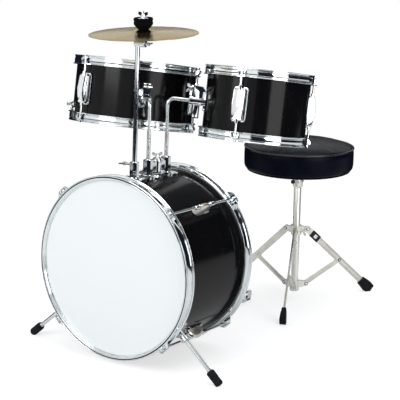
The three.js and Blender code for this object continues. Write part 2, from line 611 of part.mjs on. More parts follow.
// outline in x and z, thickness along y
const upAxis = frameOf(V(0, 0, 0), V(1, 0, 0), V(0, 0, 1), V(0, -1, 0));
const HOUSING_TALL = 24;
const HOUSING_DEEP = 9;
const SNARE_BOTTOM = DRUM_ARM_DROP - SNARE_H;
const HOUSING_Z = SNARE_BOTTOM + HOOP_TALL + 1 + HOUSING_TALL / 2;
function strainerHousings(shell, shellR) {
  let out = shell;
  for (const deg of [STRAINER_DEG, STRAINER_DEG + 180]) {
    out = out.add(slab([[-HOUSING_TALL / 2, -3], [HOUSING_TALL / 2, -3], [HOUSING_TALL / 2, HOUSING_DEEP - 1],
      [HOUSING_TALL / 2 - 1, HOUSING_DEEP], [5 - HOUSING_TALL / 2, HOUSING_DEEP], [-HOUSING_TALL / 2, HOUSING_DEEP - 4]],
    26, chain(drumSeat(deg, shellR, HOUSING_Z), upAxis)));
  }
  return out;
}
// gate in the hoop's lower edge, and a notch in its flange for the strap
const FLANGE_KEEP = 8.4;
const SNARE_SHELL_R = SNARE_HOOP_R - HOOP_OUT;
function snareGates(hoop) {
  let h = hoop;
  for (const deg of [STRAINER_DEG, STRAINER_DEG + 180]) {
    h = h.subtract(box(12, 26, 26, drumSeat(deg, SNARE_HOOP_R - 4, 3)))
      .subtract(box(10, 23, 10, drumSeat(deg, SNARE_SHELL_R + FLANGE_KEEP + 5, HOOP_TALL - 1)));
  }
  return h;
}
const snare = hangingDrum({ name: 'snare', hoopR: SNARE_HOOP_R, height: SNARE_H, frame: snareFrame, seg: 32,
  lugLength: 78, wing: V(1, 0, 0), extra: strainerHousings, gate: snareGates });
const tom = hangingDrum({ name: 'tom', hoopR: TOM_HOOP_R, height: TOM_H, frame: tomFrame, seg: 32,
  lugLength: 82, wing: V(0.5, 0, 0.866) });
add('snare_l_rod', lRod(snareFrame, ROD1_S, SNARE_ARM, snare.shellR), 'chrome');
add('tom_l_rod', lRod(tomFrame, ROD2_S, TOM_ARM, tom.shellR), 'chrome');

// throw-off lever: turns on the strainer's face about an axis pointing out of the drum
const FACE_R = snare.shellR + HOUSING_DEEP;
const LEVER_Z = HOUSING_Z + 5;
const leverSeat = drumSeat(STRAINER_DEG, FACE_R + GAP, LEVER_Z);
const knob = turned([[0, 0], [5.5, 0], [5.5, 2.5], [2.4, 3.2], [2.4, 11], [4.6, 11.4], [4.6, 16.6], [3.6, 17.5],
  [0, 17.5]], 12);
add('snare_lever', at(fuse(knob,
  slab([[5, 0], [4, 18], [0, 21], [-4, 18], [-5, 0]], 2.4, move(0, 0, 1.2))),
chain(snareFrame.m, leverSeat)), 'chrome');

// snare wires: strands between two end strips under the bottom skin, with straps out through the
// gates and up to a clamp bar on each housing
const WIRE_T = 1.6;
const STRANDS = 8;
const wireZ = SNARE_BOTTOM + 7.5 - GAP - WIRE_T / 2;
const wireHalf = snare.shellR - 35;
const wireSeat = frameOf(V(0, 0, wireZ), around(STRAINER_DEG, 1, 0), V(0, 0, 1).cross(around(STRAINER_DEG, 1, 0)),
  V(0, 0, 1));
const strapUp = HOUSING_Z - 2 - wireZ;
let wires = null;
for (let i = 0; i < STRANDS; i += 1) {
  const w = box(2 * wireHalf, WIRE_T, WIRE_T, move(0, (i - (STRANDS - 1) / 2) * 5, 0));
  wires = wires ? wires.add(w) : w;
}
for (const s of [-1, 1]) {
  const face = FACE_R + GAP;
  wires = fuse(wires, box(14, 42, WIRE_T, move(s * wireHalf, 0, 0)),
    box(face + 1 - wireHalf, 18, 1, move(s * (wireHalf + face + 1) / 2, 0, -0.3)),
    box(1, 18, strapUp, move(s * (face + 0.5), 0, strapUp / 2 - 0.8)),
    box(2.4, 22, 7, move(s * (face + 1.8), 0, strapUp - 4.5)),
    rod(V(s * (face + 2.5), -8, strapUp - 4.5), V(s * (face + 4.5), -8, strapUp - 4.5), 2.6, 6),
    rod(V(s * (face + 2.5), 8, strapUp - 4.5), V(s * (face + 4.5), 8, strapUp - 4.5), 2.6, 6));
}
add('snare_wires', at(wires, chain(snareFrame.m, wireSeat)), 'steel');

// ---------------------------------------------------------------- cymbal stand
const postBase = toWorld(V(0, POST_S, BASS_R + SOCKET_FLOOR + 1));
const postTop = toWorld(V(0, POST_S, POST_TOP_H));
const PIVOT = postTop.clone().add(bassUp.clone().multiplyScalar(-5));
const eyeOut = 9;
add('cymbal_post', fuse(rod(postBase, postTop, POST_R, 12),
  rod(PIVOT.clone().add(V(-6.5, 0, 0)), PIVOT.clone().add(V(eyeOut, 0, 0)), 8, 12)), 'chrome');

// cymbal frame: z along the stud, leaning to the front
const stud = V(0, -Math.sin(CYMBAL_TILT), Math.cos(CYMBAL_TILT));
const CYM = frameOf(PIVOT.clone().add(V(CYMBAL_OFFSET, 0, 0)), V(1, 0, 0), stud.clone().cross(V(1, 0, 0)), stud);
const RIM_Z = 24;                      // rim plane above the tilter's pivot
const BELL_TOP = 33.5;
const FELT_TOP = 60;
const tilter = fuse(rod(V(-CYMBAL_OFFSET + eyeOut + GAP, 0, 0), V(5, 0, 0), 8, 12),
  rod(V(0, 0, -4), V(0, 0, 15), 6, 8), rod(V(0, 0, 14), V(0, 0, 17), 11, 14),
  rod(V(0, 0, 16), V(0, 0, FELT_TOP + 17), 3, 8),
  at(wingScrew(5, 4.6, 22), frameOf(V(4, 0, 0), V(0, 0.6, 0.8), V(0, -0.8, 0.6), V(1, 0, 0))));
add('cymbal_tilter', at(tilter, CYM), 'chrome');

// felt spool: lower washer, sleeve through the cymbal, tall upper felt with a dished top
const HOLE_R = 6.5;
add('cymbal_felt', at(turned([[3.2, 17.3], [14, 17.3], [15, 19], [15, BELL_TOP - 4.6], [13, BELL_TOP - 4],
  [5.8, BELL_TOP - 3.6], [5.8, BELL_TOP + GAP], [12, BELL_TOP + GAP], [22.5, BELL_TOP + 11],
  [22, BELL_TOP + 21], [19, FELT_TOP], [12, FELT_TOP - 3.4], [3.2, FELT_TOP - 3.4], [3.2, 17.3]], 16), CYM), 'felt');

// cymbal: cupped bell, shallow bow, rim
const CT = 1.2;
const upper = [[HOLE_R, 9.3], [18, 8.6], [31, 5.3], [42, 4.6], [88, 2.8], [CYMBAL_R, 0]];
const bowTop = upper.map(([r, z]) => [r, RIM_Z + z * (BELL_TOP - RIM_Z) / 9.3]);
const bowUnder = bowTop.map(([r, z]) => [r, z - CT]).reverse();
add('cymbal', at(turned([...bowTop, ...bowUnder, bowTop[0]], 36), CYM), 'brass');

// wing nut with its cup washer
const nutBase = FELT_TOP - 3.4 + GAP;
const nut = at(wingScrew(1, 5, 26), move(0, 0, nutBase + 4)).add(turned([[3, nutBase], [11.5, nutBase],
  [11.8, nutBase + 1.4], [7, nutBase + 2.6], [6, nutBase + 5.5], [3, nutBase + 5.5], [3, nutBase]], 14))
  .subtract(rod(V(0, 0, nutBase - 3), V(0, 0, nutBase + 40), 3.2, 12));
add('cymbal_wing_nut', at(nut, CYM), 'chrome');

// ---------------------------------------------------------------- throne
const THRONE = move(THRONE_X, THRONE_Y, 0);
const seatTop = SEAT_BOTTOM + SEAT_SIDE;
add('seat_cushion', at(turned([[0, SEAT_BOTTOM], [SEAT_R - 12, SEAT_BOTTOM], [SEAT_R - 2, SEAT_BOTTOM + 7],
  [SEAT_R, SEAT_BOTTOM + 16], [SEAT_R, seatTop], [SEAT_R - 9, seatTop + 9], [SEAT_R - 34, seatTop + 20],
  [SEAT_R - 80, seatTop + 27], [0, seatTop + 29]], 30), THRONE), 'vinyl');

// seat plate, its welded sleeve with a cross screw, and the spigot that slides in the tube
const TUBE_TOP = 322;
const seatPost = fuse(slab(roundedOutline(110, 110, 20, 2), 2.5, move(0, 0, SEAT_BOTTOM - GAP - 1.25)),
  turned([[0, SEAT_BOTTOM - GAP - 20], [13, SEAT_BOTTOM - GAP - 20], [16, SEAT_BOTTOM - GAP - 2], [30, SEAT_BOTTOM - GAP - 1.5],
    [0, SEAT_BOTTOM - GAP - 1.5]], 16),
  rod(V(0, 0, TUBE_TOP - 80), V(0, 0, SEAT_BOTTOM - 5), TUBE_R - 1.9, 16),
  rod(V(0, 0, TUBE_TOP + GAP), V(0, 0, SEAT_BOTTOM - 10), 13.2, 16),
  rod(V(-17, 0, TUBE_TOP + 15), V(17, 0, TUBE_TOP + 15), 3.2, 8),
  rod(V(-20, 0, TUBE_TOP + 15), V(-13, 0, TUBE_TOP + 15), 5.6, 6));
add('seat_post', at(seatPost, chain(THRONE, turn(V(0, 0, 1), 60 * RAD))), 'chrome');

// leg plane k: x outwards from the tube, z up
const legAngle = (k) => (THRONE_TURN + 120 * k - 90) * RAD;
const legFrame = (k) => chain(THRONE, turn(V(0, 0, 1), legAngle(k)));
const upright = frameOf(V(0, 0, 0), V(1, 0, 0), V(0, 0, 1), V(0, -1, 0));  // outline x, z; thickness along y
const LEG_T = 2.4;
const EAR_GAP = 4.2;                   // half distance between the ears of a hub lug

// pair of ears on a hub for plane k
function ears(z, pivotR, tall) {
  const list = [];
  for (const y of [-EAR_GAP - 1.1, EAR_GAP + 1.1]) {
    list.push(slab([[TUBE_R + 1, z - tall / 2], [pivotR + 3, z - 6], [pivotR + 6.5, z], [pivotR + 3, z + 6],
      [TUBE_R + 1, z + tall / 2]], 2.2, chain(upright, move(0, 0, y))));
  }
  // pivot screws stop inside the ears
  list.push(rod(V(pivotR, -EAR_GAP - 4.2, z), V(pivotR, -EAR_GAP - 1.4, z), 3.6, 6));
  list.push(rod(V(pivotR, EAR_GAP + 1.4, z), V(pivotR, EAR_GAP + 4.2, z), 3.6, 6));
  return fuse(...list);
}
const spin = (k) => turn(V(0, 0, 1), legAngle(k));

let base = ring([[TUBE_R - 1.5, 24], [TUBE_R, 24], [TUBE_R, TUBE_TOP], [TUBE_R - 1.5, TUBE_TOP]], 14)
  .add(ring([[TUBE_R - 1, 22], [TUBE_R + 2.6, 22], [TUBE_R + 2.6, 52], [TUBE_R - 1, 52]], 14));
for (let k = 0; k < 3; k += 1) base = base.add(at(ears(LOWER_HUB_Z, HUB_PIVOT_R, 20), spin(k)));
add('throne_tube', at(base, THRONE), 'chrome');

let hub = ring([[TUBE_R + 0.25, HUB_Z - 14], [TUBE_R + 4.2, HUB_Z - 14], [TUBE_R + 4.2, HUB_Z + 8],
  [TUBE_R + 6, HUB_Z + 9], [TUBE_R + 6, HUB_Z + 14], [TUBE_R + 0.25, HUB_Z + 14]], 14);
for (let k = 0; k < 3; k += 1) hub = hub.add(at(ears(HUB_Z, HUB_PIVOT_R, 20), spin(k)));
const hubScrewAngle = legAngle(0) + 60 * RAD;
hub = hub.add(at(wingScrew(9, 4.6, 24), chain(turn(V(0, 0, 1), hubScrewAngle),
  frameOf(V(TUBE_R + 3, 0, HUB_Z), V(0, 0, 1), V(0, 1, 0).negate(), V(1, 0, 0)))));
add('throne_hub', at(hub, THRONE), 'chrome');

// flat leg with rounded ends and a pressed rib, brace with a joggle, wedge foot
const legDir = V(LEG_PIVOT_R - HUB_PIVOT_R, 0, LEG_PIVOT_Z - HUB_Z).normalize();
const legEnd = V(HUB_PIVOT_R, 0, HUB_Z).add(legDir.clone().multiplyScalar((HUB_Z - 14) / -legDir.z));
const legLen = legEnd.clone().sub(V(HUB_PIVOT_R, 0, HUB_Z)).length();
function strip(length, width, thick, joggle) {
  const pts = [];
  const r = width / 2;
  for (let i = 0; i <= 4; i += 1) pts.push([-r * Math.sin((Math.PI * i) / 4), r * Math.cos((Math.PI * i) / 4)]);
  for (let i = 0; i <= 4; i += 1) pts.push([length + r * Math.sin((Math.PI * i) / 4), -r * Math.cos((Math.PI * i) / 4)]);
  return slab(pts, thick, joggle || ID);
}
for (let k = 0; k < 3; k += 1) {
  const m = legFrame(k);
  // leg lies in the plane y = -1.4, brace in y = +1.4
  const alongLeg = frameOf(V(HUB_PIVOT_R, -LEG_T / 2 - 0.2, HUB_Z), legDir, V(-legDir.z, 0, legDir.x), V(0, -1, 0));
  const leg = fuse(strip(legLen, 19, LEG_T, alongLeg),
    slab([[26, -6.5], [legLen - 34, -6.5], [legLen - 34, -4], [26, -4]], 2.6, chain(alongLeg, move(0, 0, 1.6))),
    slab([[26, 4], [legLen - 34, 4], [legLen - 34, 6.5], [26, 6.5]], 2.6, chain(alongLeg, move(0, 0, 1.6))),
    rod(V(HUB_PIVOT_R, -EAR_GAP + 0.3, HUB_Z), V(HUB_PIVOT_R, 0.5, HUB_Z), 5, 8),
    rod(V(LEG_PIVOT_R, -4.2, LEG_PIVOT_Z), V(LEG_PIVOT_R, -1, LEG_PIVOT_Z), 4, 8));
  add(`throne_leg_${k + 1}`, at(leg, m), 'steel');

  const d = V(LEG_PIVOT_R - HUB_PIVOT_R, 0, LEG_PIVOT_Z - LOWER_HUB_Z);
  const len = d.length();
  const bd = d.clone().normalize();
  const alongBrace = frameOf(V(HUB_PIVOT_R, LEG_T / 2 + 0.2, LOWER_HUB_Z), bd, V(-bd.z, 0, bd.x), V(0, -1, 0));
  const brace = fuse(strip(len, 14, 2.4, alongBrace),
    slab([[14, -3], [len - 14, -3], [len - 14, 3], [14, 3]], 2.2, chain(alongBrace, move(0, 0, -1.8))),
    rod(V(HUB_PIVOT_R, -0.5, LOWER_HUB_Z), V(HUB_PIVOT_R, EAR_GAP - 0.3, LOWER_HUB_Z), 4.4, 8),
    rod(V(LEG_PIVOT_R, 1, LEG_PIVOT_Z), V(LEG_PIVOT_R, 4.6, LEG_PIVOT_Z), 4, 8));
  add(`throne_brace_${k + 1}`, at(brace, m), 'steel');

  const outline = [[-30, -13], [-12, -14], [12, -17], [15, -6], [13, 14], [-6, 16], [-28, 13]];
  const footM = frameOf(legEnd.clone().add(V(0, -LEG_T / 2 - 0.2, 0)), legDir, V(-legDir.z, 0, legDir.x), V(0, -1, 0));
  const rubber = slab(outline, 17, footM, 2).subtract(strip(legLen, 19 + 2 * GAP, LEG_T + 2 * GAP, alongLeg))
    .subtract(slab([[26, -7], [legLen - 33, -7], [legLen - 33, 7], [26, 7]], 3.2, chain(alongLeg, move(0, 0, 1.7))));
  add(`throne_foot_${k + 1}`, at(rubber, m).subtract(box(4000, 4000, 200, move(0, 0, -100))), 'rubber');
}

// ---------------------------------------------------------------- pedal
const PED = move(PEDAL_X, 0, 0);
const hoopBottomY = toWorld(V(0, BASS_W, -BASS_HOOP_R)).y;
const POST_X = 36;
const postPlate = (x) => slab([[AXLE_Y - 12, 2], [AXLE_Y + 14, 2], [AXLE_Y + 11, 40], [AXLE_Y + 7, AXLE_Z], [AXLE_Y + 5, AXLE_Z + 8],
  [AXLE_Y - 5, AXLE_Z + 8], [AXLE_Y - 8, AXLE_Z], [AXLE_Y - 12, 40]], 5,
frameOf(V(x, 0, 0), V(0, 1, 0), V(0, 0, 1), V(1, 0, 0)));
const toeFront = hoopBottomY - 26;
const toeBack = AXLE_Y + 16;
let frame = fuse(box(84, toeBack - toeFront, TOE_T, move(0, (toeFront + toeBack) / 2, TOE_T / 2)), postPlate(-POST_X), postPlate(POST_X),
  box(POST_X * 2, 10, 6, move(0, AXLE_Y + 4, 5)),
  rod(V(-30, AXLE_Y, 4), V(-17, HEEL_Y - 26, 4), 3, 6), rod(V(30, AXLE_Y, 4), V(17, HEEL_Y - 26, 4), 3, 6),
  // upper jaw reaches over the hoop's lower edge, its screw stands behind it
  box(30, 10, 28, move(0, hoopBottomY + 16, 14)), box(24, 22, 5, move(0, hoopBottomY + 8, 29.5)),
  rod(V(0, hoopBottomY + 16, 26), V(0, hoopBottomY + 16, 40), 4, 6));
frame = frame.add(at(wingScrew(2, 4.6, 24), move(0, hoopBottomY + 16, 38)));
// heel casting: plate and two cheeks that hold the footboard's pin
const HEEL_HALF = 22;
const CHEEK_T = 5.5;
const heelPlate = slab([[-HEEL_HALF, -34], [HEEL_HALF, -34], [HEEL_HALF, 4], [HEEL_HALF - 6, 10], [6 - HEEL_HALF, 10],
  [-HEEL_HALF, 4]], 6, move(0, HEEL_Y, 3), 0.8);
frame = frame.add(heelPlate);
for (const side of [-1, 1]) {
  frame = frame.add(slab([[-15, 2], [4, 2], [9, HEEL_Z - 6], [9, HEEL_Z + 3], [5, HEEL_Z + 8], [-5, HEEL_Z + 8], [-9, HEEL_Z + 3]],
    CHEEK_T, frameOf(V(side * (HEEL_HALF - CHEEK_T / 2), HEEL_Y, 0), V(0, 1, 0), V(0, 0, 1), V(1, 0, 0))));
}
frame = frame.subtract(rod(V(-60, AXLE_Y, AXLE_Z), V(60, AXLE_Y, AXLE_Z), 4.2, 12))
  .subtract(rod(V(-60, HEEL_Y, HEEL_Z), V(60, HEEL_Y, HEEL_Z), 3.3, 8));
add('pedal_frame', at(frame, PED), 'chrome');

// footboard with ribs, heel pin and the rigid link up to the rocker
const pin = V(0, AXLE_Y - 18, AXLE_Z + 21.4);
const toe = V(0, AXLE_Y - 8, BOARD_TOE_Z);
const heelPoint = V(0, HEEL_Y - 9, HEEL_Z + 5);
const bd0 = toe.clone().sub(heelPoint);
const boardLen = bd0.length();
const bdir = bd0.clone().normalize();
const boardM = frameOf(heelPoint, bdir, V(-1, 0, 0), bdir.clone().cross(V(-1, 0, 0)));
let board = slab([[0, -15], [9, -15], [20, -21], [boardLen * 0.35, -27], [boardLen * 0.8, -30], [boardLen - 6, -26], [boardLen, -14], [boardLen, 14],
  [boardLen - 6, 26], [boardLen * 0.8, 30], [boardLen * 0.35, 27], [20, 21], [9, 15], [0, 15]], 4, boardM, 1);
for (let i = 0; i < 5; i += 1) {
  board = board.add(box(5, 34 + i * 2, 2, chain(boardM, move(46 + i * 48, 0, 2.6))));
}
const pinHalf = HEEL_HALF - CHEEK_T - GAP;
board = fuse(board, rod(V(-pinHalf, HEEL_Y, HEEL_Z), V(pinHalf, HEEL_Y, HEEL_Z), 5, 8),
  rod(V(0.5 - HEEL_HALF, HEEL_Y, HEEL_Z), V(HEEL_HALF - 0.5, HEEL_Y, HEEL_Z), 3, 8),
  box(2 * pinHalf - 2, 14, 6, move(0, HEEL_Y - 6, HEEL_Z + 3)));
const EYE_R = 6.2;
const linkFoot = toe.clone().add(V(0, 2, 0));
const linkUp = pin.clone().sub(linkFoot);
const linkM = frameOf(linkFoot, linkUp.clone().normalize(), V(-1, 0, 0), linkUp.clone().normalize().cross(V(-1, 0, 0)));
let link = slab([[-2, -7], [linkUp.length(), -7], [linkUp.length(), -4.2], [-2, -4.2]], 7, linkM)
  .add(slab([[-2, 4.2], [linkUp.length(), 4.2], [linkUp.length(), 7], [-2, 7]], 7, linkM))
  .add(box(8, 14, 7, chain(linkM, move(0, 0, 0))));
for (const x of [-5.6, 5.6]) {
  link = link.add(rod(pin.clone().add(V(x - 1.4, 0, 0)), pin.clone().add(V(x + 1.4, 0, 0)), EYE_R + 2.6, 10));
}
link = link.subtract(rod(pin.clone().add(V(-20, 0, 0)), pin.clone().add(V(20, 0, 0)), EYE_R, 10));
board = board.add(link);
add('pedal_footboard', at(board, PED), 'steel');

// axle, rocker, beater rod and beater
const BEATER_BACK = 44.6 * RAD;
const BEATER_L = 142;
const bdirUp = V(0, Math.sin(BEATER_BACK), Math.cos(BEATER_BACK));
const axle = V(0, AXLE_Y, AXLE_Z);
const headC = axle.clone().add(bdirUp.clone().multiplyScalar(BEATER_L));
const across = V(1, 0, 0).cross(bdirUp);
const rocker = slab([[-6, -7], [6, -7], [8, 10], [4, 31], [-4, 31], [-8, 10]], 4.4,
  frameOf(axle, V(1, 0, 0).cross(pin.clone().sub(axle).normalize()), pin.clone().sub(axle).normalize(), V(1, 0, 0).negate()));
const beater = fuse(rod(V(-POST_X - 6, AXLE_Y, AXLE_Z), V(POST_X + 6, AXLE_Y, AXLE_Z), 4, 12),
  rod(V(-30, AXLE_Y, AXLE_Z), V(-12, AXLE_Y, AXLE_Z), 7, 8), rod(V(-3, AXLE_Y, AXLE_Z), V(3, AXLE_Y, AXLE_Z), 9, 10),
  rod(V(12, AXLE_Y, AXLE_Z), V(30, AXLE_Y, AXLE_Z), 7, 8), rocker,
  rod(pin.clone().add(V(-7.6, 0, 0)), pin.clone().add(V(7.6, 0, 0)), 2.6, 8),
  box(12, 16, 16, chain(frameOf(axle, V(1, 0, 0), across.clone().negate(), bdirUp), move(0, 0, 4))),
  rod(axle, headC, 3.4, 8), rod(headC.clone().sub(across.clone().multiplyScalar(17)), headC.clone().add(across.clone().multiplyScalar(17)), 19, 16));
add('pedal_beater', at(beater, PED), 'steel');

// origin: the floor under the centre of the kit's footprint
const bounds = new THREE.Box3().setFromObject(group, true);
group.position.set(-(bounds.min.x + bounds.max.x) / 2, -(bounds.min.y + bounds.max.y) / 2, 0);

export default group;
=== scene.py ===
import json
import math

import bmesh
import bpy
from mathutils import Matrix, Vector


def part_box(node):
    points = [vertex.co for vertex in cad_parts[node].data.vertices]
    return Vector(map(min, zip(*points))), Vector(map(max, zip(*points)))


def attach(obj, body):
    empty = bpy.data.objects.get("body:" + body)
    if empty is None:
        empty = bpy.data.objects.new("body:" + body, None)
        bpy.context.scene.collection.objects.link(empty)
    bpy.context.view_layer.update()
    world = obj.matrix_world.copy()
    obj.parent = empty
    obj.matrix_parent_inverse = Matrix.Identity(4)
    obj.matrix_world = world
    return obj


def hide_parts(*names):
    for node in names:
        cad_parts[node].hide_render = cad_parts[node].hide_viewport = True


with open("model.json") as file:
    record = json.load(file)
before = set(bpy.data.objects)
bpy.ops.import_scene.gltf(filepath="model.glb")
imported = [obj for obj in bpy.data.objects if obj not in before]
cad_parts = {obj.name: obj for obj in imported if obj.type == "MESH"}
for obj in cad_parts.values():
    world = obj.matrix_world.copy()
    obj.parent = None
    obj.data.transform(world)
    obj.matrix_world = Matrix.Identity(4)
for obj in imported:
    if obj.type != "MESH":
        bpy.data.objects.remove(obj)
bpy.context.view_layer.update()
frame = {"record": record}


# Three soft boxes light it, and dark cards that only polished metal and gloss can see give the
# chrome its dark bands, as flags do round a real set.
def middle(node_name):
    low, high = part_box(node_name)
    return (low + high) / 2


# the drawing's own zero lies on the floor under the middle of the bass drum's front rim
zero = Vector((middle("seat_cushion").x - 0.097, middle("seat_cushion").y - 0.699, 0))
scene = bpy.context.scene


class Sock:
    """One output of a node. Sums and products of these add the Math nodes for them."""

    def __init__(self, tree, out):
        self.tree, self.out = tree, out

    def math(self, operation, *values):
        return node(self.tree, "ShaderNodeMath", {"operation": operation}, *values)

    def __add__(self, other):
        return self.math("ADD", self, other)

    def __mul__(self, other):
        return self.math("MULTIPLY", self, other)

    def __sub__(self, other):
        return self.math("SUBTRACT", self, other)

    def __rsub__(self, other):
        return self.math("SUBTRACT", other, self)

    __radd__, __rmul__ = __add__, __mul__


def node(tree, kind, settings, *values, out=0, **sockets):
    """Adds a node, sets it up, fills its sockets in order or by name, and gives one output."""
    made = tree.nodes.new(kind)
    for name, value in settings.items():
        if name == "stops":
            ramp = made.color_ramp
            while len(ramp.elements) < len(value):
                ramp.elements.new(0.5)
            for element, (place, colour) in zip(ramp.elements, value):
                element.position, element.color = place, colour
        else:
            setattr(made, name, value)
    pairs = list(zip(made.inputs, values))
    pairs += [(made.inputs[name.replace("_", " ")], value) for name, value in sockets.items()]
    for socket, value in pairs:
        if isinstance(value, Sock):
            tree.links.new(value.out, socket)
        elif value is not None:
            socket.default_value = value
    return Sock(tree, made.outputs[out])


world = bpy.data.worlds.new("studio")
scene.world = world
world.use_nodes = True
tree = world.node_tree
tree.nodes.clear()
path = tree.nodes.new("ShaderNodeLightPath")
camera_ray, glossy_ray, clear_ray = (Sock(tree, path.outputs[f"Is {kind} Ray"])
                                     for kind in ("Camera", "Glossy", "Transmission"))
seen = camera_ray.math("MAXIMUM", camera_ray.math("MAXIMUM", camera_ray, glossy_ray), clear_ray)
around = node(tree, "ShaderNodeBackground", {}, (0.93, 0.96, 1.0, 1), 0.5)
white = node(tree, "ShaderNodeBackground", {}, (1, 1, 1, 1), 1.0)
both = node(tree, "ShaderNodeMixShader", {}, seen, around, white)
tree.links.new(both.out, tree.nodes.new("ShaderNodeOutputWorld").inputs["Surface"])

floor_mesh = bmesh.new()
bmesh.ops.create_circle(floor_mesh, cap_ends=True, segments=96, radius=14)
floor_data = bpy.data.meshes.new("floor")
floor_mesh.to_mesh(floor_data)
floor_mesh.free()
floor = bpy.data.objects.new("floor", floor_data)
scene.collection.objects.link(floor)
floor_finish = bpy.data.materials.new("floor_white")
floor_finish.use_nodes = True
tree = floor_finish.node_tree
tree.nodes.clear()
path = tree.nodes.new("ShaderNodeLightPath")
camera_ray, glossy_ray = (Sock(tree, path.outputs[f"Is {kind} Ray"]) for kind in ("Camera", "Glossy"))
paper = node(tree, "ShaderNodeBsdfDiffuse", {}, (0.55, 0.55, 0.55, 1))
glow = node(tree, "ShaderNodeEmission", {}, (1, 1, 1, 1), camera_ray * 0.62 + glossy_ray * 0.24)
lit = node(tree, "ShaderNodeAddShader", {}, paper, glow)
far = node(tree, "ShaderNodeEmission", {}, (1, 1, 1, 1), 1.0)
spot = node(tree, "ShaderNodeTexCoord", {}, out=3)
away = node(tree, "ShaderNodeVectorMath", {"operation": "LENGTH"}, spot, out=1)
fade = node(tree, "ShaderNodeMapRange", {"interpolation_type": "SMOOTHSTEP"}, away, 0.9, 2.4, 0.0, 1.0)
shown = node(tree, "ShaderNodeMixShader", {}, fade * camera_ray, lit, far)
tree.links.new(shown.out, tree.nodes.new("ShaderNodeOutputMaterial").inputs["Surface"])
floor_data.materials.append(floor_finish)


def soft_box(name, place, aim, wide, tall, power):
    lamp = bpy.data.lights.new(name, "AREA")
    lamp.shape, lamp.size, lamp.size_y, lamp.energy = "RECTANGLE", wide, tall, power
    thing = bpy.data.objects.new(name, lamp)
    thing.location = place
    thing.rotation_euler = (Vector(aim) - Vector(place)).to_track_quat("-Z", "Y").to_euler()
    scene.collection.objects.link(thing)


soft_box("key", (-0.51, -2.9, 1.85), (0, 0, 0.4), 1.6, 1.6, 48)
soft_box("side", (2.7, -0.75, 1.05), (0, 0, 0.4), 1.5, 1.3, 30)
soft_box("top", (0.2, 0.3, 2.9), (0, 0, 0.3), 2.2, 2.2, 34)

card_finish = bpy.data.materials.new("card_dark")
card_finish.use_nodes = True
card_finish.node_tree.nodes["Principled BSDF"].inputs["Base Color"].default_value = (0.012, 0.016, 0.026, 1)
card_finish.node_tree.nodes["Principled BSDF"].inputs["Roughness"].default_value = 1
card_finish.node_tree.nodes["Principled BSDF"].inputs["Specular IOR Level"].default_value = 0


def dark_card(name, start, end, low, high, away=3.3, foot=3.3):
    sheet = bmesh.new()
    turn = math.radians(start)
    side = [sheet.verts.new((reach * math.cos(turn), reach * math.sin(turn), up)) for reach,
            up in ((foot, low), (away, high))]
    bmesh.ops.spin(sheet, geom=side + [sheet.edges.new(side)], cent=(0, 0, 0), axis=(0, 0, 1),
                   angle=math.radians(end - start), steps=24, use_merge=False)
    data = bpy.data.meshes.new(name)
    sheet.to_mesh(data)
    sheet.free()
    data.materials.append(card_finish)
    card = bpy.data.objects.new(name, data)
    scene.collection.objects.link(card)
    card.visible_camera = card.visible_diffuse = card.visible_shadow = card.visible_transmission = False


dark_card("card_right", -60, 75, 0.02, 2.6)
dark_card("card_left", 148, 190, 0.02, 2.4)
dark_card("card_behind", 85, 170, 0.02, 1.22)
dark_card("card_floor", 60, 195, 0.012, 0.02, 3.4, 0.75)
dark_card("card_front", -62, -20, 0.012, 0.02, 3.4, 1.1)
dark_card("card_horizon", 0, 360, 0.02, 0.5, 3.6, 3.6)
dark_card("card_ceiling", 0, 360, 2.7, 4.2, 3.0, 3.0)

camera_data = bpy.data.cameras.new("camera")
camera_data.lens, camera_data.sensor_width, camera_data.clip_end = 101.774, 36, 60
camera = bpy.data.objects.new("camera", camera_data)
eye = zero + Vector((1.612789, -1.968463, 1.013134))
axes = Matrix(((0.8206264, -0.14403577, 0.55301537), (0.57130598, 0.18394719, -0.79985805),
               (0.01348254, 0.97232563, 0.23324042)))
camera.matrix_world = Matrix.Translation(eye) @ axes.to_4x4()
scene.collection.objects.link(camera)
scene.camera = camera
scene.view_settings.view_transform = "Standard"


# ---- Bass drum shell
# A 16 inch ply shell under glossy black plastic wrap, 205 mm in radius. The wrap is glued round it and
# overlaps in one thin seam underneath. The drum's nose is tipped up, since its rear hoop stands in the pedal.
def shift(x, y, z):
    return Matrix.Translation((x, y, z))


kit = Matrix.Translation(zero) @ Matrix.Scale(0.001, 4)
bass_r, bass_wide, bass_hoop_r = 205, 272, 221
bass_tilt = math.radians(2.55)
bass_high = bass_hoop_r * math.cos(bass_tilt) + bass_wide * math.sin(bass_tilt) + 2.3
bass = kit @ shift(0, 0, bass_high) @ Matrix.Rotation(-bass_tilt, 4, "X")
lying = Matrix.Rotation(-math.pi / 2, 4, "X")
rear = shift(0, bass_wide, 0) @ Matrix.Rotation(math.pi, 4, "Z") @ lying
record = frame["record"]
home = {name: body for body, members in record["behaviour"]["bodies"].items() for name in members}


def turned(outline, steps=128):
    """Spins an outline of (radius, height) pairs, in millimetres, round the part's own Z axis."""
    part = bmesh.new()
    rim = [part.verts.new((radius, 0, height)) for radius, height in outline]
    lines = [part.edges.new(pair) for pair in zip(rim, rim[1:] + rim[:1]) if pair[0].co.x or pair[1].co.x]
    bmesh.ops.spin(part, geom=rim + lines, cent=(0, 0, 0), axis=(0, 0, 1), angle=math.tau, steps=steps,
                   use_merge=True)
    bmesh.ops.remove_doubles(part, verts=part.verts, dist=1e-4)
    return part


def moved(part, place):
    bmesh.ops.transform(part, matrix=place, verts=part.verts)
    return part


def cut(part, at, way, drop=True):
    """Cuts a part on a plane and takes off what lies beyond it, unless that is kept."""
    bmesh.ops.bisect_plane(part, geom=part.verts[:] + part.edges[:] + part.faces[:], plane_co=at,
                           plane_no=way, clear_outer=drop)


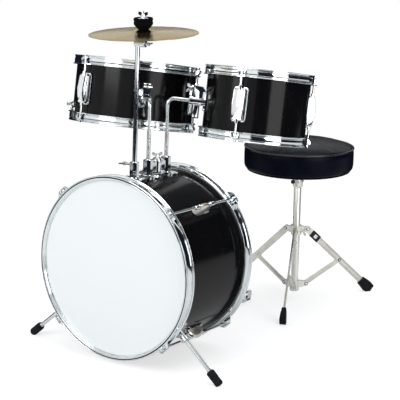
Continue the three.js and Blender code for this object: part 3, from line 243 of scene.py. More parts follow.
def close(part, sides=0):
    bmesh.ops.holes_fill(part, edges=[edge for edge in part.edges if edge.is_boundary], sides=sides)


def piece(node_name, parts, place, finish, edge=0.35, part_name=""):
    whole = bmesh.new()
    for part in parts:
        bmesh.ops.recalc_face_normals(part, faces=part.faces)
        shape = bpy.data.meshes.new("part")
        part.to_mesh(shape)
        part.free()
        whole.from_mesh(shape)
        bpy.data.meshes.remove(shape)
    bmesh.ops.transform(whole, matrix=place, verts=whole.verts)
    name = f"{node_name}_{part_name or 'finished'}"
    data = bpy.data.meshes.new(name)
    whole.to_mesh(data)
    whole.free()
    data.shade_smooth()
    data.set_sharp_from_angle(angle=math.radians(38))
    data.materials.append(finish)
    thing = bpy.data.objects.new(name, data)
    scene.collection.objects.link(thing)
    if edge:
        rounding = thing.modifiers.new("rounded_edges", "BEVEL")
        rounding.width, rounding.segments, rounding.limit_method = edge / 1000, 2, "ANGLE"
        rounding.angle_limit, rounding.harden_normals = math.radians(40), True
    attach(thing, home[node_name])
    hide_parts(node_name)
    return thing


def finish_of(name, colour, metal, rough):
    """A new finish: its node tree, its shader, and the place on the piece in metres."""
    made = bpy.data.materials.new(name)
    made.use_nodes = True
    tree = made.node_tree
    shader = tree.nodes["Principled BSDF"].inputs
    shader["Base Color"].default_value = (*colour, 1)
    shader["Metallic"].default_value, shader["Roughness"].default_value = metal, rough
    return made, tree, shader, node(tree, "ShaderNodeTexCoord", {}, out=3)


def grain(tree, place, scale, detail=3.0, rough=0.55, stretch=None):
    """Noise from 0 to 1 at a scale per metre, stretched along an axis where that is given."""
    if stretch:
        place = node(tree, "ShaderNodeMapping", {}, place, None, None, stretch)
    return node(tree, "ShaderNodeTexNoise", {}, place, None, scale, detail, rough)


def feed(tree, shader, name, value):
    tree.links.new(value.out, shader[name])


def tinted(tree, amount, low, high):
    """A colour that goes from low to high with amount. Each is a colour or a link."""
    made = tree.nodes.new("ShaderNodeMix")
    made.data_type = "RGBA"
    tree.links.new(amount.out, made.inputs[0])
    for socket, value in ((made.inputs[6], low), (made.inputs[7], high)):
        if isinstance(value, Sock):
            tree.links.new(value.out, socket)
        else:
            socket.default_value = (*value, 1)
    return Sock(tree, made.outputs[2])


def spread(tree, value, low, high, to_low, to_high):
    return node(tree, "ShaderNodeMapRange", {"clamp": True}, value, low, high, to_low, to_high)


def stained(tree, shader, where, low, high, clean, dirty):
    """Colours a finish from clean to dirty as a value goes from low to high."""
    feed(tree, shader, "Base Color", tinted(tree, spread(tree, where, low, high, 0.0, 1.0), clean, dirty))


def relief(tree, shader, height, strength, distance):
    feed(tree, shader, "Normal", node(tree, "ShaderNodeBump", {}, strength, distance, Height=height))


# black wrap: deep gloss with a faint ripple from the glue, dust and finger marks, and hairline scratches
wrap, tree, shader, place = finish_of("black_wrap", (0.0035, 0.0035, 0.0042), 0.0, 0.14)
shader["Specular IOR Level"].default_value = 0.13
shader["Coat Roughness"].default_value = 0.05
smear = grain(tree, place, 9, 4, 0.6)
dust = spread(tree, grain(tree, place, 55, 5, 0.7), 0.55, 0.8, 0.0, 1.0)
scratch = spread(tree, grain(tree, place, 60, 2, 0.5, (1.0, 1.0, 26.0)), 0.64, 0.72, 0.0, 1.0)
feed(tree, shader, "Base Color", tinted(tree, dust * 0.35 + scratch * 0.1, (0.0035, 0.0035, 0.0042),
                                        (0.016, 0.016, 0.017)))
feed(tree, shader, "Roughness", spread(tree, smear, 0.3, 0.7, 0.09, 0.2) + scratch * 0.12 + dust * 0.06)
relief(tree, shader, grain(tree, place, 24, 2, 0.4) + scratch * 0.08, 0.07, 0.002)

# the shell's inner face: pale ply with its grain running round the drum
ply, tree, shader, place = finish_of("shell_ply", (0.42, 0.27, 0.15), 0.0, 0.6)
streak = grain(tree, place, 30, 4, 0.6, (0.25, 3.0, 0.25))
stained(tree, shader, streak, 0.35, 0.68, (0.5, 0.33, 0.19), (0.3, 0.17, 0.085))
feed(tree, shader, "Roughness", spread(tree, streak, 0.3, 0.7, 0.5, 0.72))
relief(tree, shader, streak, 0.25, 0.0006)

shell_end = 9.6
tube = turned([(bass_r - 3, shell_end + 1), (bass_r - 1.2, shell_end), (bass_r, shell_end + 1.2),
               (bass_r, bass_wide - shell_end - 1.2), (bass_r - 1.2, bass_wide - shell_end),
               (bass_r - 3, bass_wide - shell_end - 1)], 192)
seam = moved(turned([(bass_r - 0.4, shell_end + 1.5), (bass_r + 0.22, shell_end + 1.5),
                     (bass_r + 0.22, bass_wide - shell_end - 1.5),
                     (bass_r - 0.4, bass_wide - shell_end - 1.5)], 192),
             Matrix.Rotation(math.radians(-97), 4, "Z"))
cut(seam, (0, 0, 0), (0, 1, 0))
cut(seam, (0, 0, 0), (-0.998, -0.06, 0))
close(seam, 8)
piece("bass_shell", [moved(tube, lying), moved(seam, lying)], bass, wrap)
inside = turned([(bass_r - 6, shell_end), (bass_r - 3, shell_end), (bass_r - 3, bass_wide - shell_end),
                 (bass_r - 6, bass_wide - shell_end)], 128)
piece("bass_shell", [moved(inside, lying)], bass, ply, part_name="ply")


# ---- Bass drum heads
# A smooth white film on the front and a plain one behind, each crimped in a flesh hoop that drops over
# the shell's edge. The film turns down over the edge in a small soft collar.
film, tree, shader, place = finish_of("coated_head", (0.86, 0.885, 0.905), 0.0, 0.2)
shader["Specular IOR Level"].default_value = 0.4
cloud = grain(tree, place, 5, 3, 0.5)
speck = grain(tree, place, 700, 2, 0.5)
feed(tree, shader, "Base Color", tinted(tree, cloud, (0.86, 0.90, 0.91), (0.89, 0.92, 0.925)))
feed(tree, shader, "Roughness", spread(tree, cloud, 0.3, 0.7, 0.16, 0.27))
relief(tree, shader, speck, 0.06, 0.0004)
head_in, flesh_in, flesh_out = 8.3, bass_r + 1, bass_r + 7.5
skin = [(0, head_in), (flesh_in - 3, head_in + 0.02), (flesh_out - 1.8, head_in + 0.1),
        (flesh_out - 0.5, head_in + 0.5), (flesh_out, head_in + 1.4), (flesh_out, head_in + 7),
        (flesh_in, head_in + 7), (flesh_in, head_in + 1), (0, head_in + 1)]
piece("bass_front_head", [moved(turned(skin, 192), lying)], bass, film, edge=0)
piece("bass_back_head", [moved(turned(skin, 192), rear)], bass, film, edge=0)


# ---- Bass drum hoops
# Pressed steel channels, chromed: two flanges, a web between them and a lip that bears on the head.
# Four ears stand out from each, and a ring of the shell's black wrap in the outer groove paints a dark
# reflection.
chrome, tree, shader, place = finish_of("chrome", (0.80, 0.82, 0.85), 1.0, 0.07)
smear = grain(tree, place, 26, 4, 0.6)
pits = spread(tree, grain(tree, place, 420, 2, 0.5), 0.7, 0.8, 0.0, 1.0)
hair = spread(tree, grain(tree, place, 150, 2, 0.5, (1.0, 12.0, 1.0)), 0.62, 0.74, 0.0, 1.0)
stained(tree, shader, smear, 0.35, 0.7, (0.825, 0.86, 0.87), (0.725, 0.765, 0.78))
feed(tree, shader, "Roughness", spread(tree, smear, 0.3, 0.7, 0.045, 0.12) + hair * 0.05 + pits * 0.12)
relief(tree, shader, grain(tree, place, 90, 2, 0.5) - pits * 0.4, 0.05, 0.0008)


def plate(outline, thick, corner=0.0, steps=4):
    """Cuts an outline of (x, y) points from sheet. Its middle lies on z = 0 and its corners are rounded."""
    part = bmesh.new()
    flat = part.faces.new([part.verts.new((x, y, -thick / 2)) for x, y in outline])
    pulled = bmesh.ops.extrude_face_region(part, geom=[flat])["geom"]
    bmesh.ops.translate(part, vec=(0, 0, thick),
                        verts=[item for item in pulled if isinstance(item, bmesh.types.BMVert)])
    if corner:
        upright = [edge for edge in part.edges if abs(edge.verts[0].co.z - edge.verts[1].co.z) > thick / 2]
        bmesh.ops.bevel(part, geom=upright, offset=corner, segments=steps, profile=0.5, affect="EDGES",
                        material=-1)
    return part


def standing(at, along, up):
    """The place of a part at a point, its x along one way and its z as near another as it can be."""
    x = Vector(along).normalized()
    y = Vector(up).cross(x).normalized()
    return Matrix.Translation(at) @ Matrix((x, y, x.cross(y))).transposed().to_4x4()


def on_bass(behind, degrees, radius):
    turn = math.radians(degrees)
    return Vector((radius * math.cos(turn), behind, radius * math.sin(turn)))


hoop_in = flesh_out + 0.4
lip = head_in - 0.3
channel = [(hoop_in - 1, 0.9), (hoop_in - 0.7, 0.3), (hoop_in, 0), (hoop_in + 2.2, 0),
           (hoop_in + 2.7, 0.5), (hoop_in + 2.8, 1.9), (hoop_in + 5, 1.9), (hoop_in + 5.1, 0.5),
           (hoop_in + 5.6, 0.1), (bass_hoop_r - 1.1, 0), (bass_hoop_r - 0.3, 0.5), (bass_hoop_r, 1.5),
           (bass_hoop_r - 0.3, 2.6), (bass_hoop_r - 1.2, 3), (hoop_in + 4, 3.5), (hoop_in + 2.8, 4),
           (hoop_in + 2.4, 5.2), (hoop_in + 2.4, 24.4), (hoop_in + 3, 25.6), (hoop_in + 4.4, 26.1),
           (bass_hoop_r - 1.2, 26.2), (bass_hoop_r - 0.2, 26.8), (bass_hoop_r, 27.6),
           (bass_hoop_r - 0.3, 28.6), (bass_hoop_r - 1.3, 29), (hoop_in + 0.6, 29), (hoop_in, 28.4),
           (hoop_in, lip), (hoop_in - 3.4, lip), (hoop_in - 4, lip - 0.5), (hoop_in - 3.6, lip - 1.2),
           (hoop_in - 1.4, lip - 1.6), (hoop_in - 1, lip - 2.2)]
bass_lugs = [43.8, 133.8, 223.8, 313.8]
ear_front, ear_far = 3.4, bass_r + 27


def bass_ears(flipped):
    """The four ears of one hoop, mirrored end for end on the rear one."""
    ears = []
    for degrees in bass_lugs:
        out, side = on_bass(0, degrees, 1), on_bass(0, degrees, 1).cross(Vector((0, 1, 0)))
        for hand in (-1, 1):
            cheek = plate([(hoop_in + 1.2, ear_front), (ear_far, ear_front), (ear_far, ear_front + 6),
                           (bass_hoop_r - 1, 28), (hoop_in + 1.2, 28)], 2.5, 1.2, 2)
            ears.append(moved(cheek, Matrix.Translation(side * hand * 9.75) @ standing((0, 0, 0), out, side)))
        front = plate([(hoop_in + 1.2, -11), (ear_far, -11), (ear_far, 11), (hoop_in + 1.2, 11)], 3.4, 2.2, 3)
        tab = plate([(bass_hoop_r - 7, -28), (ear_far, -11), (ear_far, 11), (bass_hoop_r - 7, 28)],
                    2.6, 2.4, 3)
        ears.append(moved(front, standing(on_bass(ear_front + 1.7, degrees, 0), out, (0, 1, 0))))
        ears.append(moved(tab, standing(on_bass(ear_front + 1.3, degrees, 0), out, (0, 1, 0))))
    if flipped:
        for ear in ears:
            moved(ear, shift(0, bass_wide, 0) @ Matrix.Diagonal((1, -1, 1, 1)))
    return ears


piece("bass_front_hoop", [moved(turned(channel, 224), lying)] + bass_ears(False), bass, chrome, edge=0.5)
piece("bass_back_hoop", [moved(turned(channel, 224), rear)] + bass_ears(True), bass, chrome, edge=0.5)
# painted reflection: a black ring standing in for the dark line the chrome groove mirrors
painted_dark_line = [(hoop_in + 2.9, 0.7), (hoop_in + 4.9, 0.7), (hoop_in + 4.9, 1.8), (hoop_in + 2.9, 1.8)]
piece("bass_front_hoop", [moved(turned(painted_dark_line, 224), lying)], bass, wrap, edge=0, part_name="painted_dark_line")
piece("bass_back_hoop", [moved(turned(painted_dark_line, 224), rear)], bass, wrap, edge=0, part_name="painted_dark_line")


# ---- Bass drum lugs and tension rods
# Four boat-shaped lugs, a satin casing on a chromed plate, are screwed to the shell behind its middle. A
# sleeve nut at each end takes a tension rod, which runs through the hoop's ear to a collar and a square head.
def pin(start, end, radius, tip=None, steps=32):
    """Turns a round pin between two points, tapered to another radius where tip is given."""
    start, end = Vector(start), Vector(end)
    part = bmesh.new()
    bmesh.ops.create_cone(part, cap_ends=True, segments=steps, radius1=radius,
                          radius2=radius if tip is None else tip, depth=(end - start).length)
    return moved(part,
                 Matrix.Translation((start + end) / 2)
                 @ (end - start).to_track_quat("Z", "Y").to_matrix().to_4x4())


def block(wide, deep, tall, place=None):
    part = bmesh.new()
    bmesh.ops.create_cube(part, size=1)
    return moved(part, (place or Matrix()) @ Matrix.Diagonal((wide, deep, tall, 1)))


def dome(half_long, half_wide, tall):
    """Half of a stretched ball, standing on z = 0."""
    part = bmesh.new()
    bmesh.ops.create_uvsphere(part, u_segments=40, v_segments=24, radius=1)
    bmesh.ops.transform(part, matrix=Matrix.Rotation(math.pi / 2, 4, "Y"), verts=part.verts)
    cut(part, (0, 0, -0.2), (0, 0, -1))
    close(part)
    return moved(part, Matrix.Diagonal((half_long, half_wide, tall, 1)))


def seat_on(behind, degrees):
    """A place on the bass shell: x along the drum, z straight out of it."""
    out = on_bass(0, degrees, 1)
    return standing(on_bass(behind, degrees, bass_r), (0, 1, 0), out)


def curved_foot(behind, degrees, long, wide, thick, corner):
    """A pressed foot that follows the bass shell, with rounded corners."""
    part = plate([(-long / 2, -wide / 2), (long / 2, -wide / 2), (long / 2, wide / 2),
                  (-long / 2, wide / 2)], thick, corner, 5)
    for step in range(1, int(wide // 5)):
        cut(part, (0, -wide / 2 + step * 5, 0), (0, 1, 0), drop=False)
    for vert in part.verts:
        turn = vert.co.y / bass_r
        high = bass_r + 0.25 + thick / 2 + vert.co.z
        vert.co.y, vert.co.z = high * math.sin(turn), high * math.cos(turn) - bass_r
    return moved(part, seat_on(behind, degrees))


def tension_rod(ear, out, radius, collar):
    """Rod from the lug to beyond the ear, with its collar, washer and square head, along +X or -X."""
    way = math.copysign(1, ear)
    return [pin((0, 0, out), (ear, 0, out), radius, steps=24),
            pin((ear, 0, out), (ear + way * 1.2, 0, out), collar),
            pin((ear + way * 1.2, 0, out), (ear + way * 4, 0, out), collar - 1, collar - 1.6),
            block(5, 4.6, 4.6, shift(ear + way * 5.4, 0, out))]


satin, tree, shader, place = finish_of("satin_casing", (0.60, 0.565, 0.50), 1.0, 0.32)
cast = grain(tree, place, 40, 4, 0.6)
stained(tree, shader, cast, 0.35, 0.7, (0.80, 0.76, 0.68), (0.62, 0.58, 0.50))
feed(tree, shader, "Roughness", spread(tree, cast, 0.3, 0.7, 0.28, 0.4))
relief(tree, shader, grain(tree, place, 500, 2, 0.5), 0.08, 0.0004)
lug_behind = 143
for number, degrees in enumerate(bass_lugs, 1):
    half = 34
    base = plate([(-half, 0), (10 - half, -12.5), (half - 10, -12.5), (half, 0), (half - 10, 12.5),
                  (10 - half, 12.5)], 3, 3, 5)
    seat = seat_on(lug_behind, degrees)
    piece(f"bass_lug_{number}", [moved(dome(half - 3, 9.5, 25), seat @ shift(0, 0, 1))], bass, satin,
          part_name="casing")
    parts = [moved(base, shift(0, 0, 1.6))]
    for hand in (-1, 1):
        parts += [pin((hand * 20, 0, 19), (hand * 37.5, 0, 19), 5),
                  pin((hand * 37.5, 0, 19), (hand * 38, 0, 19), 5, 4.2),
                  pin((hand * 22, 0, 19), (hand * 24, 0, 19), 5.9),
                  pin((hand * 30, 0, 2), (hand * 30, 0, 4.6), 3, 2.6)]
    parts += tension_rod(ear_front - 0.3 - lug_behind, 19, 3,
                         5.8) + tension_rod(bass_wide - ear_front + 0.3 - lug_behind, 19, 3, 5.8)
    piece(f"bass_lug_{number}", [moved(part, seat) for part in parts], bass, chrome)


# ---- Sockets on the bass drum
# An eight-sided socket holds the cymbal post, with a wing screw in its side. Behind it the double
# receiver takes both L-rods: two sockets, a bridge, and one upright clamp screw between them.
def wing_screw(stem, hub=4.6, span=26):
    """Screw along +Z with two rounded wings on its hub."""
    wings = []
    for hand in (-1, 1):
        wing = plate([(hand * 1, 0.5), (hand * span / 2, 4.6), (hand * (span / 2 + 0.3), 11.2),
                      (hand * (span / 2 - 3.4), 11.6), (hand * 1, 6.6)], 2.6, 2.2, 4)
        wings.append(moved(wing, shift(0, 0, stem) @ Matrix.Rotation(math.pi / 2, 4, "X")))
    return wings + [pin((0, 0, 0), (0, 0, stem + 1), 2.8, steps=24),
                    pin((0, 0, stem), (0, 0, stem + 6.5), hub, hub - 0.8),
                    pin((0, 0, stem + 6.5), (0, 0, stem + 7.4), hub - 0.8, hub - 2)]


socket_top = bass_r + 40.5


def socket(behind, half):
    """Eight-sided socket standing on the bass drum, with a rounded mouth."""
    half += 1.2
    tall = plate([(half / math.cos(math.pi / 8) * math.cos(math.radians(45 * step + 22.5)),
                   half / math.cos(math.pi / 8) * math.sin(math.radians(45 * step + 22.5)))
                  for step in range(8)], 42.4)
    place = shift(0, behind, bass_r + 18.2)
    return [moved(tall, place), pin((0, behind, bass_r + 1), (0, behind, bass_r + 4.5), half + 2.4,
                                    half + 1.2, 48),
            pin((0, behind, socket_top - 1.4), (0, behind, socket_top), half, half - 1.4, 48)]


def foot_screw(behind, degrees):
    return [pin(on_bass(behind, degrees, bass_r + 2), on_bass(behind, degrees, bass_r + 4.8), 4.4, 4),
            pin(on_bass(behind, degrees, bass_r + 4.8), on_bass(behind, degrees, bass_r + 6.4), 4, 1.6)]


screw_place = standing((-7.5, 80, socket_top - 7), (0, 1, 0), (-1, 0, 0))
piece("cymbal_socket", socket(80, 9.5) + [curved_foot(80, 90, 34, 56, 3, 9)] + foot_screw(80, 84.2)
      + foot_screw(80, 95.8) + [moved(part, screw_place) for part in wing_screw(20)], bass, chrome)
rods_behind = (133, 205)
between = sum(rods_behind) / 2
boss = turned([(0, bass_r + 8), (11, bass_r + 8), (11, bass_r + 31), (12.4, bass_r + 32.4),
               (14, bass_r + 33), (14.2, bass_r + 34.5), (13.6, bass_r + 36), (11, bass_r + 38.6),
               (9, bass_r + 41), (0, bass_r + 41)], 48)
parts = [block(12, 60, 20, shift(0, between, bass_r + 22)), moved(boss, shift(0, between, 0)),
         curved_foot(between, 90, 60, 22, 3, 3)]
for behind in rods_behind:
    parts += socket(behind,
                    10) + [curved_foot(behind, 90, 34, 60, 3,
                                       10)] + foot_screw(behind, 84) + foot_screw(behind, 96)
parts += [moved(part, standing((0, between, bass_r + 41), (0.5, 0.866, 0), (0, 0, 1)))
          for part in wing_screw(2, 5)]
piece("tom_receiver", parts, bass, chrome)


# ---- Spurs A straight rod slants out through a socket on each side of the shell, held by a wing screw,
# and stands on a turned rubber foot.
rubber, tree, shader, place = finish_of("black_rubber", (0.012, 0.012, 0.013), 0.0, 0.62)
shader["Specular IOR Level"].default_value = 0.12
bloom, mould = grain(tree, place, 60, 4, 0.6), grain(tree, place, 900, 2, 0.5)
stained(tree, shader, bloom, 0.4, 0.75, (0.004, 0.0048, 0.007), (0.014, 0.0148, 0.018))
feed(tree, shader, "Roughness", spread(tree, bloom, 0.3, 0.7, 0.5, 0.74))
relief(tree, shader, mould, 0.25, 0.0004)
spur_behind, spur_socket = 48, 34
for side, degrees, hand in (("right", -36.75, 1), ("left", 216.75, -1)):
    out = Vector((hand * math.cos(math.radians(40.7)), 0, -math.sin(math.radians(40.7))))
    root = on_bass(spur_behind, degrees, bass_r)
    floor_high = -(bass_high - math.sin(bass_tilt) * spur_behind) / math.cos(bass_tilt)
    reach = (floor_high - root.z) / out.z
    foot_top, rod_end = reach - 8.5 - 37, reach - 20.5
    piece(f"spur_bracket_{side}", [curved_foot(spur_behind, degrees, 50, 40, 3, 12)], bass, satin,
          part_name="foot")
    parts = [pin(root - out * 2, root + out * spur_socket, 9.5, 8.5, 48),
             pin(root + out * (spur_socket - 9), root + out * (spur_socket - 0.8), 10.8, steps=48),
             pin(root + out * (spur_socket - 0.8), root + out * spur_socket, 10.8, 10, 48)]
    for along in (-17, 17):
        parts += foot_screw(spur_behind + along, degrees)
    grip = standing(root + out * (spur_socket - 15) + Vector((0, 7, 0)), -out, (0, 1, 0))
    parts += [moved(part, grip) for part in wing_screw(11)]
    piece(f"spur_bracket_{side}", parts, bass, chrome)
    rod = [pin(root - out * 14, root + out * rod_end, 4.75),
           pin(root + out * (foot_top - 4.3), root + out * (foot_top - 0.3), 6.2)]
    piece(f"spur_{side}", rod, bass, chrome)
    foot_place = standing(root + out * foot_top, Vector((0, 1, 0)).cross(out), out)
    foot = turned([(5, 0), (8.4, 0), (9.3, 1.2), (10, 4), (10, 20), (9.4, 21), (9.4, 22.6), (10, 23.6),
                   (10, 25.6), (9.4, 26.6), (9.4, 28.2), (10, 29.2), (10, 34), (9.2, 37), (7.6, 39),
                   (0, 39), (0, 26), (5, 26)], 64)
    foot = moved(foot, foot_place)
    level = Matrix.Rotation(bass_tilt, 3, "X") @ Vector((0, 0, 1))
    cut(foot, level * -bass_high, -level)
    close(foot)
    piece(f"spur_foot_{side}", [foot], bass, rubber, edge=0.5)


# ---- L-rods
# Two bent steel rods, 9 mm thick and chromed. Each stands in the receiver, bends at the elbow and points
# into a drum's bracket, so that the drum can turn round the upright and tilt about the arm.
nickel, tree, shader, place = finish_of("satin_nickel", (0.88, 0.92, 0.91), 1.0, 0.24)
smear, brushed = grain(tree, place, 30, 4, 0.6), grain(tree, place, 700, 2, 0.5, (1.0, 1.0, 0.1))
stained(tree, shader, smear, 0.35, 0.7, (0.90, 0.935, 0.925), (0.80, 0.84, 0.835))
feed(tree, shader, "Roughness", spread(tree, smear, 0.3, 0.7, 0.18, 0.3) + brushed * 0.05)
relief(tree, shader, brushed, 0.04, 0.0004)
lean, splay, elbow_high, elbow_tangent = math.radians(9.7), math.radians(46.85), 388.5, 16
arm_dip = math.atan(math.tan(lean) * math.cos(splay))
drum_up = Vector((0, math.sin(lean), math.cos(lean)))
to_kit = shift(0, 0, bass_high) @ Matrix.Rotation(-bass_tilt, 4, "X")
hung = {}
for name, hand, behind, arm, hoop_r in (("snare", -1, 133, 246.1, 164), ("tom", 1, 205, 219.6, 137.5)):
    arm_way = Vector((hand * math.sin(splay) * math.cos(arm_dip), math.cos(splay) * math.cos(arm_dip),
                      -math.sin(arm_dip)))
    elbow = to_kit @ Vector((0, behind, elbow_high))
    hung[name] = Matrix.Translation(elbow
                                    + arm_way * arm) @ Matrix((arm_way.cross(drum_up), arm_way,
                                                               drum_up)).transposed().to_4x4()
    foot_of_rod = to_kit @ Vector((0, behind, bass_r + 8))
    up_way = (elbow - foot_of_rod).normalized()
    bend = up_way.angle(arm_way)
    across_way = (arm_way - up_way * arm_way.dot(up_way)).normalized()
    centre = elbow - up_way * elbow_tangent + across_way * elbow_tangent / math.tan(bend / 2)
    rod = bmesh.new()
    place = Matrix.Translation(foot_of_rod) @ up_way.to_track_quat("Z", "Y").to_matrix().to_4x4()
    ring = bmesh.ops.create_circle(rod, cap_ends=True, segments=32, radius=4.5, matrix=place)["verts"]
    section = rod.faces[:] + rod.edges[:] + ring
    pulled = bmesh.ops.extrude_face_region(rod, geom=section)["geom"]
    bmesh.ops.translate(rod, vec=elbow - up_way * elbow_tangent - foot_of_rod,
                        verts=[v for v in pulled if isinstance(v, bmesh.types.BMVert)])
    turned_ring = bmesh.ops.spin(rod, geom=pulled, cent=centre, axis=up_way.cross(arm_way), angle=bend,
                                 steps=14, use_merge=False)["geom_last"]
    pulled = bmesh.ops.extrude_face_region(rod, geom=turned_ring)["geom"]
    straight = arm - (hoop_r - 10.5) - 5 - elbow_tangent
    bmesh.ops.translate(rod, vec=arm_way * straight,
                        verts=[v for v in pulled if isinstance(v, bmesh.types.BMVert)])
    piece(f"{name}_l_rod", [rod], kit, nickel, edge=0.5)


# ---- Snare drum and tom
# Two small drums hung on the L-rods, leaning to the player. Each has a wrapped shell, a coated head on
# top and a clear one below, two flanged hoops, three box lugs with their rods, and the arm's bracket.
clear, tree, shader, place = finish_of("clear_head", (0.74, 0.76, 0.77), 0.0, 0.12)
haze = grain(tree, place, 30, 3, 0.5)
feed(tree, shader, "Alpha", spread(tree, haze, 0.3, 0.7, 0.38, 0.46))
feed(tree, shader, "Roughness", spread(tree, haze, 0.3, 0.7, 0.09, 0.18))
relief(tree, shader, haze, 0.05, 0.0006)
drum_lugs = (-60, 60, 180)
flange, ring_out, head_drop = 10.5, 11.2, 7.5


def around_drum(degrees, radius, high):
    turn = math.radians(degrees)
    return Vector((radius * math.sin(turn), -radius * math.cos(turn), high))


def on_drum(degrees, radius, high):
    """A place on a hanging drum's side: x up the drum, z straight out of it."""
    return standing(around_drum(degrees, radius, high), (0, 0, 1), around_drum(degrees, 1, 0))


def flanged_hoop(shell_r):
    """Hoop hanging from z = 0: rolled lip, wall, step on the head, and three ears on its outward flange."""
    out, wall, ring = shell_r + flange, shell_r + 5.3, shell_r + ring_out
    rim = turned([(wall - 3.4, -7.2), (wall - 3.4, -6.4), (wall, -6.2), (wall, -1.4), (wall + 0.4, -0.5),
                  (wall + 1.2, 0), (wall + 2.2, 0), (wall + 3, -0.6), (wall + 3, -1.5),
                  (wall + 2.4, -2.3), (wall + 1.8, -3), (wall + 1.8, -4.6), (wall + 0.8, -5.2),
                  (wall + 0.8, -6.2), (wall + 1.8, -6.8), (wall + 2.25, -8.8), (wall + 2.45, -11.6),
                  (wall + 2.25, -14.4), (wall + 1.8, -16.6), (wall + 2.4, -17), (wall + 2.4, -18.2),
                  (wall + 1.8, -18.8), (wall + 1.8, -19.8), (wall + 2.3, -20.6), (wall + 3.2, -21),
                  (out - 0.8, -21), (out, -21.6), (out, -22.4), (out - 0.8, -23), (wall + 0.8, -23),
                  (wall, -22.2), (wall, -7.6)], 192)
    parts = [rim]
    for degrees in drum_lugs:
        way = around_drum(degrees, 1, 0)
        side = way.cross(Vector((0, 0, 1)))
        for hand in (-1, 1):
            cheek = plate([(wall + 1, -7), (ring + 6, -7), (ring + 6, -13), (out - 0.5, -21),
                           (wall + 1, -21)], 2.2, 1.4, 3)
            parts.append(moved(cheek, Matrix.Translation(side * hand * 8.9) @ standing((0, 0, 0), way, side)))
        parts.append(moved(plate([(wall + 1, -10), (ring + 6, -10), (ring + 6, 10), (wall + 1, 10)], 3,
                                 2.6, 4), standing((0, 0, -8.5), way, (0, 0, 1))))
        parts.append(moved(plate([(wall + 0.6, -24), (out - 0.2, -22), (ring + 5.2, -10),
                                  (ring + 5.2, 10), (out - 0.2, 22), (wall + 0.6, 24)], 1.8, 1.5, 3),
                           standing((0, 0, -21.9), way, (0, 0, 1))))
    return parts


